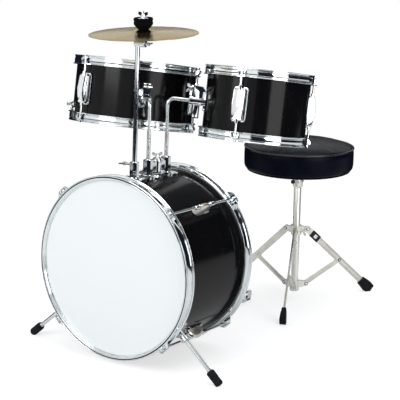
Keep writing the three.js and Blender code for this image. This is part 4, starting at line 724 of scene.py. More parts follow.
for name, hoop_r, tall, lug_long, wing_way in (("snare", 164, 166, 78, (1, 0, 0)),
                                               ("tom", 137.5, 175, 82, (0.5, 0, 0.866))):
    place = kit @ hung[name]
    shell_r, top = hoop_r - flange, 91.5
    bottom, high, low = top - tall, top - 8.8, top - tall + 8.8
    ring, half_way = shell_r + ring_out, top - tall / 2
    side_wall = turned([(shell_r - 2, low), (shell_r - 1, low), (shell_r, low + 1), (shell_r, high - 1),
                        (shell_r - 1, high), (shell_r - 2, high)], 192)
    piece(f"{name}_shell", [side_wall], place, wrap)
    inner = turned([(shell_r - 5, low), (shell_r - 2, low), (shell_r - 2, high), (shell_r - 5, high)], 128)
    piece(f"{name}_shell", [inner], place, ply, part_name="ply")
    flesh_in, flesh_out = shell_r + 0.7, shell_r + 5
    skin = [(0, 0), (flesh_in - 3, -0.02), (flesh_out - 1.6, -0.1), (flesh_out - 0.4, -0.4),
            (flesh_out, -1.2), (flesh_out, -6), (flesh_in, -6), (flesh_in, -1), (0, -1)]
    piece(f"{name}_top_head", [moved(turned(skin, 160), shift(0, 0, top - head_drop))], place, film, edge=0)
    upside_down = shift(0, 0, bottom) @ Matrix.Diagonal((1, 1, -1, 1))
    piece(f"{name}_bottom_head", [moved(turned(skin, 160), upside_down @ shift(0, 0, -head_drop))], place,
          clear, edge=0)
    piece(f"{name}_top_hoop", [moved(part, shift(0, 0, top)) for part in flanged_hoop(shell_r)], place,
          chrome, edge=0.4)
    piece(f"{name}_bottom_hoop", [moved(part, upside_down) for part in flanged_hoop(shell_r)], place,
          chrome, edge=0.4)
    for number, degrees in enumerate(drum_lugs, 1):
        half = lug_long / 2
        base = plate([(-half, -18), (half, -18), (half, 18), (-half, 18)], 2.4, 8, 6)
        casing = plate([(2.5 - half, -14.5), (half - 2.5, -14.5), (half - 2.5, 14.5), (2.5 - half, 14.5)],
                       ring_out + 8, 6, 6)
        bmesh.ops.bevel(casing,
                        geom=[edge for edge in casing.edges if all(vert.co.z > 0 for vert in edge.verts)],
                        offset=2.2, segments=4, profile=0.5, affect="EDGES", material=-1)
        front = [face for face in casing.faces if face.normal.z > 0.99 and len(face.verts) > 8]
        bmesh.ops.inset_region(casing, faces=front, thickness=1.8, depth=-0.9, use_even_offset=True)
        cut(casing, (0, 0, 0), (1, 0, 0), drop=False)
        for vert in casing.verts:
            if vert.co.z > 0:
                vert.co.z -= 5.2 * abs(vert.co.x) / half
        parts = [moved(base, shift(0, 0, 1.5)), moved(casing, shift(0, 0, (ring_out + 8) / 2))]
        for hand in (-1, 1):
            parts += [pin((hand * (half - 8), 0, ring_out), (hand * (half + 3.4), 0, ring_out), 4.6, steps=6),
                      pin((hand * (half + 3.4), 0, ring_out), (hand * (half + 4), 0, ring_out), 4.2, 3.4),
                      moved(pin((0, 0, 0), (0, 0, 1.6), 2.8, 2.2),
                            shift(hand * (half - 1.6) * 0.9, 14.8, 2.6))]
            parts += tension_rod(hand * (tall / 2 - 6.7), ring_out, 2.6, 4)
        lug_place = on_drum(degrees, shell_r, half_way)
        piece(f"{name}_lug_{number}", [moved(part, lug_place) for part in parts], place, chrome, edge=0.3)
    far = shell_r + 42
    upright = standing((0, 0, 0), (0, -1, 0), (-1, 0, 0))
    foot = plate([(-23, -14), (23, -14), (23, 14), (-23, 14)], 3, 6, 5)
    clamp = plate([(shell_r + 1, 2), (far - 7, 2), (far - 7, 35), (far - 12, 39), (shell_r + 8, 36),
                   (shell_r + 1, 22)], 17, 2.5, 3)
    bmesh.ops.inset_region(clamp, faces=[face for face in clamp.faces if abs(face.normal.z) > 0.99],
                           thickness=3, depth=-1.6, use_even_offset=True)
    parts = [moved(foot, standing(around_drum(0, shell_r + 1.8, 0), (0, 0, 1), (0, -1, 0))),
             pin(around_drum(0, shell_r, 0), around_drum(0, far - 9, 0), 10.5, steps=48),
             pin(around_drum(0, far - 9, 0), around_drum(0, far - 0.8, 0), 12.5, 12, 48),
             pin(around_drum(0, far - 0.8, 0), around_drum(0, far, 0), 12, 11, 48), moved(clamp, upright),
             pin(around_drum(0, far - 8, 30), around_drum(0, far - 4, 30), 7.5, 7)]
    for corners in (((far - 28, -40), (far - 25.5, -6)), ((far - 12.5, -40), (far - 10, -6)),
                    ((far - 28, -42), (far - 10, -39.5))):
        (left, lower), (right, upper) = corners
        parts.append(moved(plate([(left, lower), (right, lower), (right, upper), (left, upper)],
                                 5, 0.8, 2), upright))
    for high_at in (-19, 19):
        parts.append(pin(around_drum(0, shell_r + 2, high_at), around_drum(0, shell_r + 5.5, high_at),
                         3.6, 2.6))
    wing_place = standing(around_drum(0, far - 4, 30), wing_way, (0, -1, 0))
    parts += [moved(part, wing_place) for part in wing_screw(1, 4.6, 22)]
    piece(f"{name}_bracket", parts, place, chrome)


# ---- Snare strainer, butt and wires
# Black cast housings stand on both sides of the snare's shell. Coiled steel strands run under the bottom
# head between them, and a lever with a turned knob throws them off. Straps lead out through the hoop.
snare, snare_r, housing_deep, housing_z = kit @ hung["snare"], 153.5, 9, -38.5
enamel, tree, shader, place = finish_of("black_enamel", (0.008, 0.008, 0.009), 0.0, 0.4)
shader["Specular IOR Level"].default_value = 0.3
orange_peel = grain(tree, place, 240, 3, 0.5)
feed(tree, shader, "Roughness", spread(tree, orange_peel, 0.3, 0.7, 0.3, 0.5))
stained(tree, shader, grain(tree, place, 40, 4, 0.6), 0.5, 0.8, (0.007, 0.007, 0.008), (0.02, 0.02, 0.021))
relief(tree, shader, orange_peel, 0.15, 0.0004)
parts = []
for degrees in (-75, 105):
    body = plate([(-12, -1), (12, -1), (12, 8), (11, 9), (-7, 9), (-12, 5)], 26, 1.2, 3)
    turn = Matrix(((1, 0, 0, 0), (0, 0, -1, 0), (0, 1, 0, 0), (0, 0, 0, 1)))
    parts.append(moved(body, on_drum(degrees, snare_r, housing_z) @ turn))
    for across in (-8.5, 8.5):
        for along in (-6, 6):
            parts.append(moved(pin((0, 0, 5), (0, 0, 9.2), 1.9, 1.5, 16),
                               on_drum(degrees, snare_r, housing_z) @ shift(along, across, 0)))
piece("snare_shell", parts, snare, enamel, edge=0.6, part_name="housings")

face_r, lever_z = snare_r + housing_deep, housing_z + 5
lever_place = on_drum(-75, face_r + 0.3, lever_z)
knob = turned([(0, 0), (5.5, 0), (5.5, 2.2), (4.8, 2.8), (2.4, 3.4), (2.2, 7), (2.4, 11), (3.9, 11.3),
               (4.6, 12), (4.6, 13), (4.3, 13.4), (4.6, 13.8), (4.6, 14.8), (4.3, 15.2), (4.6, 15.6),
               (4.4, 16.8), (3.2, 17.5), (0, 17.5)], 48)
arm = plate([(5, 0), (4, 18), (2, 20.4), (-2, 20.4), (-4, 18), (-5, 0)], 2.4, 1, 3)
piece("snare_lever", [moved(knob, lever_place), moved(arm, lever_place @ shift(0, 0, 1.2))], snare, chrome)

steel, tree, shader, place = finish_of("zinc_steel", (0.78, 0.77, 0.73), 1.0, 0.26)
tarnish, fine = grain(tree, place, 18, 5, 0.65), grain(tree, place, 900, 2, 0.6, (1.0, 1.0, 0.12))
stained(tree, shader, tarnish, 0.35, 0.72, (0.80, 0.785, 0.73), (0.64, 0.625, 0.57))
feed(tree, shader, "Roughness", spread(tree, tarnish, 0.3, 0.7, 0.19, 0.34) + fine * 0.06)
relief(tree, shader, fine + tarnish * 0.5, 0.08, 0.0005)
wire_z, wire_half = -74.5 + 7.5 - 0.3 - 0.8, snare_r - 35
strap_up = housing_z - 2 - wire_z
wires = standing((0, 0, wire_z), around_drum(-75, 1, 0), (0, 0, 1))
strand_parts = []
for strand in range(8):
    across = (strand - 3.5) * 5
    coil = bmesh.new()
    ring = bmesh.ops.create_circle(coil, segments=5, radius=0.28,
                                   matrix=shift(0.62, 0, 0)
                                   @ Matrix.Rotation(math.pi / 2, 4, "X"))["verts"]
    bmesh.ops.spin(coil, geom=ring + coil.edges[:], cent=(0, 0, 0), axis=(0, 0, 1),
                   dvec=(0, 0, 2 * wire_half / 720), angle=math.tau * 90, steps=720, use_merge=False)
    close(coil)
    strand_parts.append(moved(coil, shift(-wire_half, across, 0) @ Matrix.Rotation(math.pi / 2, 4, "Y")))
piece("snare_wires", [moved(part, wires) for part in strand_parts], snare, steel, edge=0)
parts = []
for hand in (-1, 1):
    face = face_r + 0.3
    parts += [block(14, 42, 1.4, shift(hand * wire_half, 0, 0)),
              block(face + 1 - wire_half, 18, 0.8, shift(hand * (wire_half + face + 1) / 2, 0, -0.3)),
              block(0.8, 18, strap_up, shift(hand * (face + 0.5), 0, strap_up / 2 - 0.8)),
              block(2.4, 22, 7, shift(hand * (face + 1.8), 0, strap_up - 4.5))]
    for across in (-8, 8):
        parts.append(pin((hand * (face + 2.5), across, strap_up - 4.5),
                         (hand * (face + 4.5), across, strap_up - 4.5), 2.6, 2))
piece("snare_wires", [moved(part, wires) for part in parts], snare, steel, part_name="straps")


# ---- Cymbal post and tilter
# A plain chromed rod stands in the front socket. Its eye carries the tilter: a barrel on a cross bolt
# with a wing screw, a cup washer and a thin threaded stud for the cymbal.
post_foot, post_top = to_kit @ Vector((0, 80, bass_r + 8)), to_kit @ Vector((0, 80, 528))
stand_up = Vector((0, math.sin(bass_tilt), math.cos(bass_tilt)))
pivot = post_top - stand_up * 5
piece("cymbal_post",
      [pin(post_foot, post_top, 5.5, steps=48), pin(post_top, post_top + stand_up * 0.8, 5.5, 4.4, 48),
       pin(pivot - Vector((6.5, 0, 0)), pivot + Vector((9, 0, 0)), 8, steps=48)], kit, chrome)
cymbal_tilt = math.radians(3)
stud_way = Vector((0, -math.sin(cymbal_tilt), math.cos(cymbal_tilt)))
head_place = standing(pivot + Vector((18, 0, 0)), (1, 0, 0), stud_way)
barrel = [pin((-8.7, 0, 0), (4.2, 0, 0), 8, steps=48), pin((4.2, 0, 0), (5, 0, 0), 8, 7, 48),
          pin((0, 0, -4), (0, 0, 15), 6),
          turned([(0, 14), (10.4, 14), (11, 14.8), (11, 16.4), (10.4, 17), (0, 17)], 48)]
stud = turned([(0, 16), (3, 16)] + [(2.9 - 0.25 * (step % 2), 56 + step * 0.55) for step in range(36)]
              + [(2.2, 76.6), (0, 77)], 24)
parts = barrel + [stud] + [moved(part, standing((4, 0, 0), (0, 0.98, 0.2), (1, 0, 0)))
                           for part in wing_screw(5, 4.6, 18)]
piece("cymbal_tilter", [moved(part, head_place) for part in parts], kit, chrome, edge=0.3)


# ---- Cymbal felt, cymbal and wing nut
# The felt spool holds the cymbal off the metal: a washer, a sleeve through the hole and a tall dished
# felt on top. The cymbal is spun brass, turned on a lathe after it was hammered, and a wing nut closes it.
felt, tree, shader, place = finish_of("black_felt", (0.006, 0.006, 0.0065), 0.0, 0.95)
shader["Specular IOR Level"].default_value = 0.05
wool, lint = grain(tree, place, 620, 5, 0.75), grain(tree, place, 150, 4, 0.7)
stained(tree, shader, wool + lint * 0.4, 0.6, 0.95, (0.002, 0.002, 0.0023), (0.009, 0.009, 0.0095))
feed(tree, shader, "Roughness", spread(tree, wool, 0.3, 0.7, 0.88, 1.0))
relief(tree, shader, wool + lint, 0.9, 0.0012)
spool = turned([(3.2, 17.3), (13.4, 17.3), (14.6, 18), (15, 19.6), (15, 28.4), (14.4, 29.4), (13, 29.6),
                (5.8, 29.9), (5.8, 33.9), (11.6, 33.9), (13.4, 34.6), (16, 37.4), (18.8, 40.6),
                (21, 43.4), (22.3, 46), (22.4, 49.4), (21.4, 51), (21.3, 52), (22.3, 53.2), (22.5, 56.6),
                (22, 59), (20.8, 60), (19, 59.7), (16.6, 57.8), (14, 56.8), (12, 56.6), (3.2, 56.6)], 96)
piece("cymbal_felt", [moved(spool, head_place)], kit, felt, edge=0)

brass, tree, shader, place = finish_of("cymbal_brass", (0.78, 0.66, 0.42), 1.0, 0.24)
shader["Specular Tint"].default_value = (0.80, 0.75, 0.63, 1)
plate_eye = kit @ head_place
turn = plate_eye.to_euler()
spun = node(tree, "ShaderNodeMapping", {"vector_type": "TEXTURE"}, place, plate_eye.translation, turn)
wobble = grain(tree, spun, 16, 3, 0.5)
flat_way = node(tree, "ShaderNodeVectorMath", {"operation": "MULTIPLY"}, spun, (1, 1, 0))
radius = node(tree, "ShaderNodeVectorMath", {"operation": "LENGTH"}, flat_way, out=1)
groove = node(tree, "ShaderNodeMath", {"operation": "SINE"}, radius * 5200 + wobble * 1.5)
band = node(tree, "ShaderNodeTexNoise", {"noise_dimensions": "1D"}, None, radius, 260, 4, 0.7)
hammer = node(tree, "ShaderNodeTexVoronoi", {"feature": "SMOOTH_F1"}, spun, None, 75)
stain = grain(tree, spun, 14, 5, 0.65)
worn = spread(tree, radius, 0.112, 0.127, 0.0, 1.0)
stained(tree, shader, stain + band * 0.5, 0.55, 1.0, (0.50, 0.43, 0.28), (0.36, 0.27, 0.15))
feed(tree, shader, "Roughness", spread(tree, band, 0.3, 0.7, 0.13, 0.24) + worn * 0.05)
relief(tree, shader, groove * 0.3 + band * 0.5 + hammer * 0.8, 0.12, 0.0005)
bow = [(6.5, 33.5), (9, 33.45), (14, 33.1), (19, 32.4), (25, 31), (30, 29.7), (34, 29.15), (42, 28.7),
       (60, 28.05), (88, 26.9), (108, 25.6), (124, 24.25), (127, 23.9)]
sheet = [(radius_at, high) for radius_at,
         high in bow] + [(127, 23.1)] + [(radius_at, high - 1.15) for radius_at,
                                         high in reversed(bow[:-1])]
piece("cymbal", [moved(turned(sheet, 224), head_place)], kit, brass, edge=0)

nut_base = 56.9
cup = turned([(3.2, nut_base), (11, nut_base), (11.7, nut_base + 0.6), (11.6, nut_base + 1.4),
              (9, nut_base + 2.1), (7, nut_base + 2.8), (6, nut_base + 4), (5.8, nut_base + 5.5),
              (3.2, nut_base + 5.5)], 48)
wings = [moved(part, shift(0, 0, nut_base + 4)) for part in wing_screw(1, 5, 26)[:2]]
hub = turned([(3.2, nut_base + 4), (5, nut_base + 5), (5, nut_base + 7), (4.3, nut_base + 11.4),
              (3.2, nut_base + 11.8)], 48)
piece("cymbal_wing_nut", [moved(part, head_place) for part in wings + [cup, hub]], kit, chrome)


# ---- Throne seat
# A round plywood board, a thick foam pad and a black vinyl cover drawn tight over both. The cover's top
# panel is sewn to its side band with a piping, and the band is stapled under the board.
throne = kit @ shift(97, 699, 0)
seat_r, seat_low, seam_high = 154, 372, 436
vinyl, tree, shader, place = finish_of("seat_vinyl", (0.003, 0.004, 0.009), 0.0, 0.4)
shader["Specular IOR Level"].default_value = 0.06
pebble = node(tree, "ShaderNodeTexVoronoi", {"feature": "DISTANCE_TO_EDGE"}, place, None, 1150)
crease = node(tree, "ShaderNodeTexVoronoi", {"feature": "DISTANCE_TO_EDGE"}, place, None, 430)
scuff = grain(tree, place, 12, 5, 0.65)
stained(tree, shader, scuff, 0.45, 0.75, (0.002, 0.0028, 0.0085), (0.0042, 0.0055, 0.013))
feed(tree, shader, "Roughness", spread(tree, scuff, 0.3, 0.7, 0.24, 0.38))
relief(tree, shader, spread(tree, pebble, 0.0, 0.16, 0.0, 1.0) * 0.5
       + spread(tree, crease, 0.0, 0.1, 0.0, 0.6), 0.16, 0.0004)

pad = turned([(0, seat_low + 3), (seat_r - 16, seat_low + 3), (seat_r - 8, seat_low + 5),
              (seat_r - 4.5, seat_low + 12), (seat_r - 4, seat_low + 24), (seat_r - 4, seam_high - 12),
              (seat_r - 5, seam_high - 4), (seat_r - 8, seam_high + 2), (seat_r - 16, seam_high + 6),
              (seat_r - 36, seam_high + 12), (seat_r - 80, seam_high + 17), (0, seam_high + 19)], 96)
cushion = piece("seat_cushion", [pad], throne, vinyl, edge=0, part_name="pad")
rest_shape = [vert.co.copy() for vert in cushion.data.vertices]
bpy.context.view_layer.objects.active = cushion
remesh = cushion.modifiers.new("even_mesh", "REMESH")
remesh.mode, remesh.voxel_size = "VOXEL", 0.0055
bpy.ops.object.modifier_apply(modifier="even_mesh")
rest_shape = [vert.co.copy() for vert in cushion.data.vertices]
held = cushion.vertex_groups.new(name="stapled")
throne_mid = throne.translation
for number, spot in enumerate(rest_shape):
    from_middle = (spot - throne_mid).xy.length
    at_seam = abs(spot.z - seam_high / 1000) < 0.004 and from_middle > (seat_r - 12) / 1000
    if spot.z < (seat_low + 4) / 1000 or at_seam:
        held.add([number], 1.0, "REPLACE")
puff = cushion.modifiers.new("foam", "CLOTH")
puff.settings.quality, puff.settings.mass = 6, 0.3
puff.settings.use_pressure, puff.settings.uniform_pressure_force = True, 4
puff.settings.tension_stiffness = puff.settings.compression_stiffness = 18
puff.settings.shear_stiffness, puff.settings.bending_stiffness = 8, 2.5
puff.settings.vertex_group_mass = "stapled"
puff.settings.effector_weights.gravity = 0
puff.collision_settings.use_collision = puff.collision_settings.use_self_collision = False
puff.point_cache.frame_start, puff.point_cache.frame_end = 1, 20
for moment in range(1, 21):
    scene.frame_set(moment)
bpy.ops.object.modifier_apply(modifier="foam")
scene.frame_set(1)
cushion.vertex_groups.clear()
for vert, spot in zip(cushion.data.vertices, rest_shape):
    step = vert.co - spot
    vert.co = spot + step * min(1, 0.006 / max(step.length, 1e-9))
cushion.data.shade_smooth()
smoothing = cushion.modifiers.new("soft_surface", "SUBSURF")
smoothing.levels = smoothing.render_levels = 1

# the piping lies in the seam, of a smoother and glossier vinyl than the cover
cord_vinyl, tree, shader, at = finish_of("piping_vinyl", (0.006, 0.007, 0.013), 0.0, 0.22)
rubbed = grain(tree, at, 60, 3, 0.6)
stained(tree, shader, rubbed, 0.4, 0.7, (0.005, 0.006, 0.012), (0.014, 0.015, 0.022))
feed(tree, shader, "Roughness", spread(tree, rubbed, 0.3, 0.7, 0.16, 0.3))
relief(tree, shader, rubbed, 0.1, 0.0004)
welt = turned([(seat_r - 5.4 + 2.5 * math.cos(math.tau * step / 14),
                seam_high + 2.5 * math.sin(math.tau * step / 14)) for step in range(14)], 160)
piece("seat_cushion", [welt], throne, cord_vinyl, edge=0, part_name="piping")
board = turned([(0, seat_low), (seat_r - 14, seat_low), (seat_r - 12, seat_low + 0.8),
                (seat_r - 12, seat_low + 5), (0, seat_low + 5)], 96)
piece("seat_cushion", [board], throne, felt, edge=0, part_name="dust_cloth")


# ---- Throne post and tube
# A steel plate is screwed under the board. Its chromed post slides in the stand's tube and is held at
# one of its heights by a dark bolt. The tube carries the pivots of the braces at its foot.
warm_chrome, tree, shader, place = finish_of("warm_chrome", (0.92, 0.91, 0.86), 0.6, 0.28)
smear, fine = grain(tree, place, 34, 4, 0.6), grain(tree, place, 800, 2, 0.5, (1.0, 1.0, 0.1))
stained(tree, shader, smear, 0.35, 0.7, (0.95, 0.94, 0.885), (0.85, 0.84, 0.79))
feed(tree, shader, "Roughness", spread(tree, smear, 0.3, 0.7, 0.24, 0.34) + fine * 0.03)
relief(tree, shader, fine, 0.04, 0.0004)
tube_top, tube_r = 322, 10.25
pivot_r, low_pivot, knee_r, knee_high = 33, 40, 136.5, 100.5
turn_60 = Matrix.Rotation(math.radians(60), 4, "Z")
under = seat_low - 0.3
corner = plate([(-55, -55), (55, -55), (55, 55), (-55, 55)], 2.5, 20, 6)
cone = turned([(0, under - 20), (13, under - 20), (13.6, under - 14), (15, under - 7), (18, under - 3.6),
               (24, under - 2), (30, under - 1.5), (0, under - 1.5)], 64)
post = [moved(corner, shift(0, 0, under - 1.25)), cone,
        pin((0, 0, tube_top - 80), (0, 0, seat_low - 5), tube_r - 1.9, steps=48),
        turned([(0, tube_top + 0.3), (12.6, tube_top + 0.3), (13.2, tube_top + 1.2),
                (13.2, seat_low - 24), (12.6, seat_low - 23), (13.2, seat_low - 22),
                (13.2, seat_low - 12), (0, seat_low - 12)], 64)]
for x, y in ((-42, -42), (42, -42), (42, 42), (-42, 42)):
    post.append(pin((x, y, under - 2.4), (x, y, under - 4.4), 4.6, 3.4))
piece("seat_post", post, throne @ turn_60, warm_chrome)
bolt = [pin((-19.4, 0, tube_top + 15), (-13, 0, tube_top + 15), 5.6, steps=6),
        pin((-19.4, 0, tube_top + 15), (-20, 0, tube_top + 15), 5, 4.2),
        pin((13, 0, tube_top + 15), (16.6, 0, tube_top + 15), 3.2),
        pin((16.6, 0, tube_top + 15), (17, 0, tube_top + 15), 3.2, 2.6)]
piece("seat_post", bolt, throne @ turn_60, enamel, part_name="bolt")


def ears(high, tall):
    """A pair of ears on the tube with the heads of their pivot screws. x is the way out of the tube."""
    made = []
    for hand in (-1, 1):
        tip = [(pivot_r + 6.5 * math.cos(math.radians(turn)), high + 6.5 * math.sin(math.radians(turn)))
               for turn in range(-100, 101, 20)]
        ear = plate([(tube_r + 0.6, high - tall / 2), (tube_r + 5, high - tall / 2)] + tip
                    + [(tube_r + 5, high + tall / 2), (tube_r + 0.6, high + tall / 2)], 2.2)
        upright = Matrix(((1, 0, 0, 0), (0, 0, -1, 0), (0, 1, 0, 0), (0, 0, 0, 1)))
        made.append(moved(ear, shift(0, hand * 5.3, 0) @ upright))
        made.append(pin((pivot_r, hand * 6.8, high), (pivot_r, hand * 7.8, high), 3.6, 3.4, 32))
        made.append(pin((pivot_r, hand * 7.8, high), (pivot_r, hand * 8.5, high), 3.4, 2, 32))
    return made


def shade_rings(high):
    """Black rings under the screw heads of a pair of ears: painted shade round the pivots."""
    return [pin((pivot_r, hand * 6.2, high), (pivot_r, hand * 6.9, high), 5.2, 5.2, 32) for hand in (-1, 1)]


leg_ways = [Matrix.Rotation(math.radians(23.3 + 120 * number - 90), 4, "Z") for number in range(3)]
stand = [turned([(tube_r - 1.5, 24), (tube_r - 0.4, 24), (tube_r, 24.4), (tube_r, tube_top - 0.8),
                 (tube_r - 0.5, tube_top), (tube_r - 1.5, tube_top)], 64),
         turned([(tube_r - 1, 22), (tube_r + 2.1, 22), (tube_r + 2.6, 22.8), (tube_r + 2.6, 51),
                 (tube_r + 1.8, 52), (tube_r - 1, 52)], 64)]
for way in leg_ways:
    stand += [moved(part, way) for part in ears(low_pivot, 20)]
piece("throne_tube", stand, throne, warm_chrome)
# black enamel rings at the brace pivots: painted shade round the screw heads
piece("throne_tube", [moved(part, way) for way in leg_ways for part in shade_rings(low_pivot)], throne,
      enamel, part_name="shade_rings")


# ---- Throne hub
# The leg pivots sit on a collar that slides on the tube. A wing bolt locks it, and pulling it up folds
# the three legs together.
hub_high = 199
collar = turned([(tube_r + 0.25, hub_high - 14), (tube_r + 3.4, hub_high - 14),
                 (tube_r + 4.2, hub_high - 13), (tube_r + 4.2, hub_high + 7.6),
                 (tube_r + 6, hub_high + 9), (tube_r + 6, hub_high + 13), (tube_r + 5, hub_high + 14),
                 (tube_r + 0.25, hub_high + 14)], 64)
hub = [collar]
for way in leg_ways:
    hub += [moved(part, way) for part in ears(hub_high, 20)]
bolt_way = Matrix.Rotation(math.radians(23.3 - 90 + 60), 4, "Z")
hub += [moved(part, bolt_way @ standing((tube_r + 3, 0, hub_high), (0, 0, 1), (1, 0, 0)))
        for part in wing_screw(9, 4.6, 24)]
piece("throne_hub", hub, throne, warm_chrome)
# black enamel rings at the leg pivots: painted shade round the screw heads
piece("throne_hub", [moved(part, way) for way in leg_ways for part in shade_rings(hub_high)], throne, enamel,
      part_name="shade_rings")


# ---- Throne legs, braces and feet
# Flat pressed steel with two stiffening ribs, zinc plated. Each brace is riveted to its leg. The right
# leg wears a black sleeve with a small white square, and every foot is a moulded rubber wedge.
label_white, tree, shader, place = finish_of("sleeve_print", (0.82, 0.82, 0.82), 0.0, 0.5)
print_grain = grain(tree, place, 420, 3, 0.6)
stained(tree, shader, print_grain, 0.6, 0.8, (0.84, 0.84, 0.84), (0.6, 0.6, 0.6))
feed(tree, shader, "Roughness", spread(tree, print_grain, 0.3, 0.7, 0.42, 0.6))
relief(tree, shader, print_grain, 0.1, 0.0003)


def ribbon(long, wide, thick):
    """Flat bar with round ends, from a pivot at zero along x."""
    half = wide / 2
    ends = [(-half * math.sin(math.pi * step / 10), half * math.cos(math.pi * step / 10))
            for step in range(11)]
    ends += [(long + half * math.sin(math.pi * step / 10), -half * math.cos(math.pi * step / 10))
             for step in range(11)]
    return plate(ends, thick)


def rib(start, end, low, high, thick, out):
    """Pressed rib lying along a bar, with sloping ends."""
    part = plate([(start, low), (end, low), (end, high), (start, high)], thick)
    top = [edge for edge in part.edges if all(vert.co.z * out > 0 for vert in edge.verts)]
    bmesh.ops.bevel(part, geom=top, offset=min(thick * 0.7, (high - low) * 0.42), segments=3, profile=0.5,
                    affect="EDGES", material=-1)
    return part


leg_way = Vector((knee_r - pivot_r, 0, knee_high - hub_high)).normalized()
leg_end = Vector((pivot_r, 0, hub_high)) + leg_way * ((hub_high - 14) / -leg_way.z)
leg_long = (leg_end - Vector((pivot_r, 0, hub_high))).length
brace_way = Vector((knee_r - pivot_r, 0, knee_high - low_pivot))
brace_long = brace_way.length
along_leg = standing((pivot_r, -1.4, hub_high), leg_way, (0, -1, 0))
along_brace = standing((pivot_r, 1.4, low_pivot), brace_way, (0, -1, 0))
for number, way in enumerate(leg_ways, 1):
    leg = [moved(part, along_leg)
           for part in (ribbon(leg_long, 19, 2.4),
                        moved(rib(26, leg_long - 34, -6.5, -4, 2.6, 1), shift(0, 0, 1.6)),
                        moved(rib(26, leg_long - 34, 4, 6.5, 2.6, 1), shift(0, 0, 1.6)))]
    leg += [pin((pivot_r, -3.9, hub_high), (pivot_r, 0.5, hub_high), 5),
            pin((knee_r, -4.2, knee_high), (knee_r, -1, knee_high), 2.6, 3.2)]
    piece(f"throne_leg_{number}", leg, throne @ way, steel)
    # the black enamel washer at the knee is painted shade round the rivet head
    piece(f"throne_leg_{number}", [pin((knee_r, -3.5, knee_high), (knee_r, -1, knee_high), 4.6)],
          throne @ way, enamel, part_name="washer")
    brace = [moved(part, along_brace)
             for part in (ribbon(brace_long, 14, 2.4),
                          moved(rib(14, brace_long - 14, -3, 3, 2.2, -1), shift(0, 0, -1.8)))]
    brace += [pin((pivot_r, -0.5, low_pivot), (pivot_r, 3.9, low_pivot), 4.4),
              pin((knee_r, 1, knee_high), (knee_r, 4, knee_high), 4),
              pin((knee_r, 4, knee_high), (knee_r, 4.6, knee_high), 4, 2.8)]
    piece(f"throne_brace_{number}", brace, throne @ way, steel)
    if number == 2:
        sleeve = plate([(-15, -10.3), (15, -10.3), (15, 10.3), (-15, 10.3)], 5.4, 0.6, 2)
        piece("throne_leg_2", [moved(sleeve, along_leg @ shift(34, 0, 0.9))], throne @ way, enamel,
              part_name="sleeve")
        square = plate([(-5.2, -5.2), (5.2, -5.2), (5.2, 5.2), (-5.2, 5.2)], 0.5, 0.8, 3)
        labels = [moved(square, along_leg @ shift(34, 0, 3.6))]
        piece("throne_leg_2", labels, throne @ way, label_white, edge=0, part_name="square")
    wedge = plate([(-30, -12), (-12, -14), (12, -17), (15, -6), (13, 14), (-6, 16), (-28, 13)], 17, 3, 4)
    groove_parts = [wedge]
    for step in range(3):
        ridge = plate([(-29.6, -13.6 + step * 9), (-22, -13.6 + step * 9), (-22, -10.6 + step * 9),
                       (-29.6, -10.6 + step * 9)], 17.4, 0.8, 2)
        groove_parts.append(moved(ridge, shift(0.8, 4.4, 0)))
    for part in groove_parts:
        for vert in part.verts:
            vert.co.z *= 0.62 + 0.38 * min(1, max(0, (vert.co.x + 30) / 32))
    place_foot = standing(leg_end + Vector((0, -1.4, 0)), leg_way, (0, -1, 0))
    foot_parts = [moved(part, place_foot) for part in groove_parts]
    for part in foot_parts:
        cut(part, (0, 0, 0), (0, 0, -1))
        close(part)
    piece(f"throne_foot_{number}", foot_parts, throne @ way, rubber, edge=0.5)


# ---- Pedal frame
# Two cast posts rise from a toe plate that slips under the rear hoop, where a jaw and a wing screw hold
# it. Two steel rods run back to the heel casting. Bearings in the posts carry the axle.
pedal = kit @ shift(-12, 0, 0)
axle_y, axle_z, heel_y, heel_z = 308, 140, 603, 21
hoop_low_y = (to_kit @ Vector((0, bass_wide, -bass_hoop_r))).y
across_x = Matrix(((0, 0, 1, 0), (1, 0, 0, 0), (0, 1, 0, 0), (0, 0, 0, 1)))


def cheek_plate(x, outline, thick, corner):
    """A plate standing across x, from an outline of (y, z) points."""
    return moved(plate(outline, thick, corner, 4), shift(x, 0, 0) @ across_x)


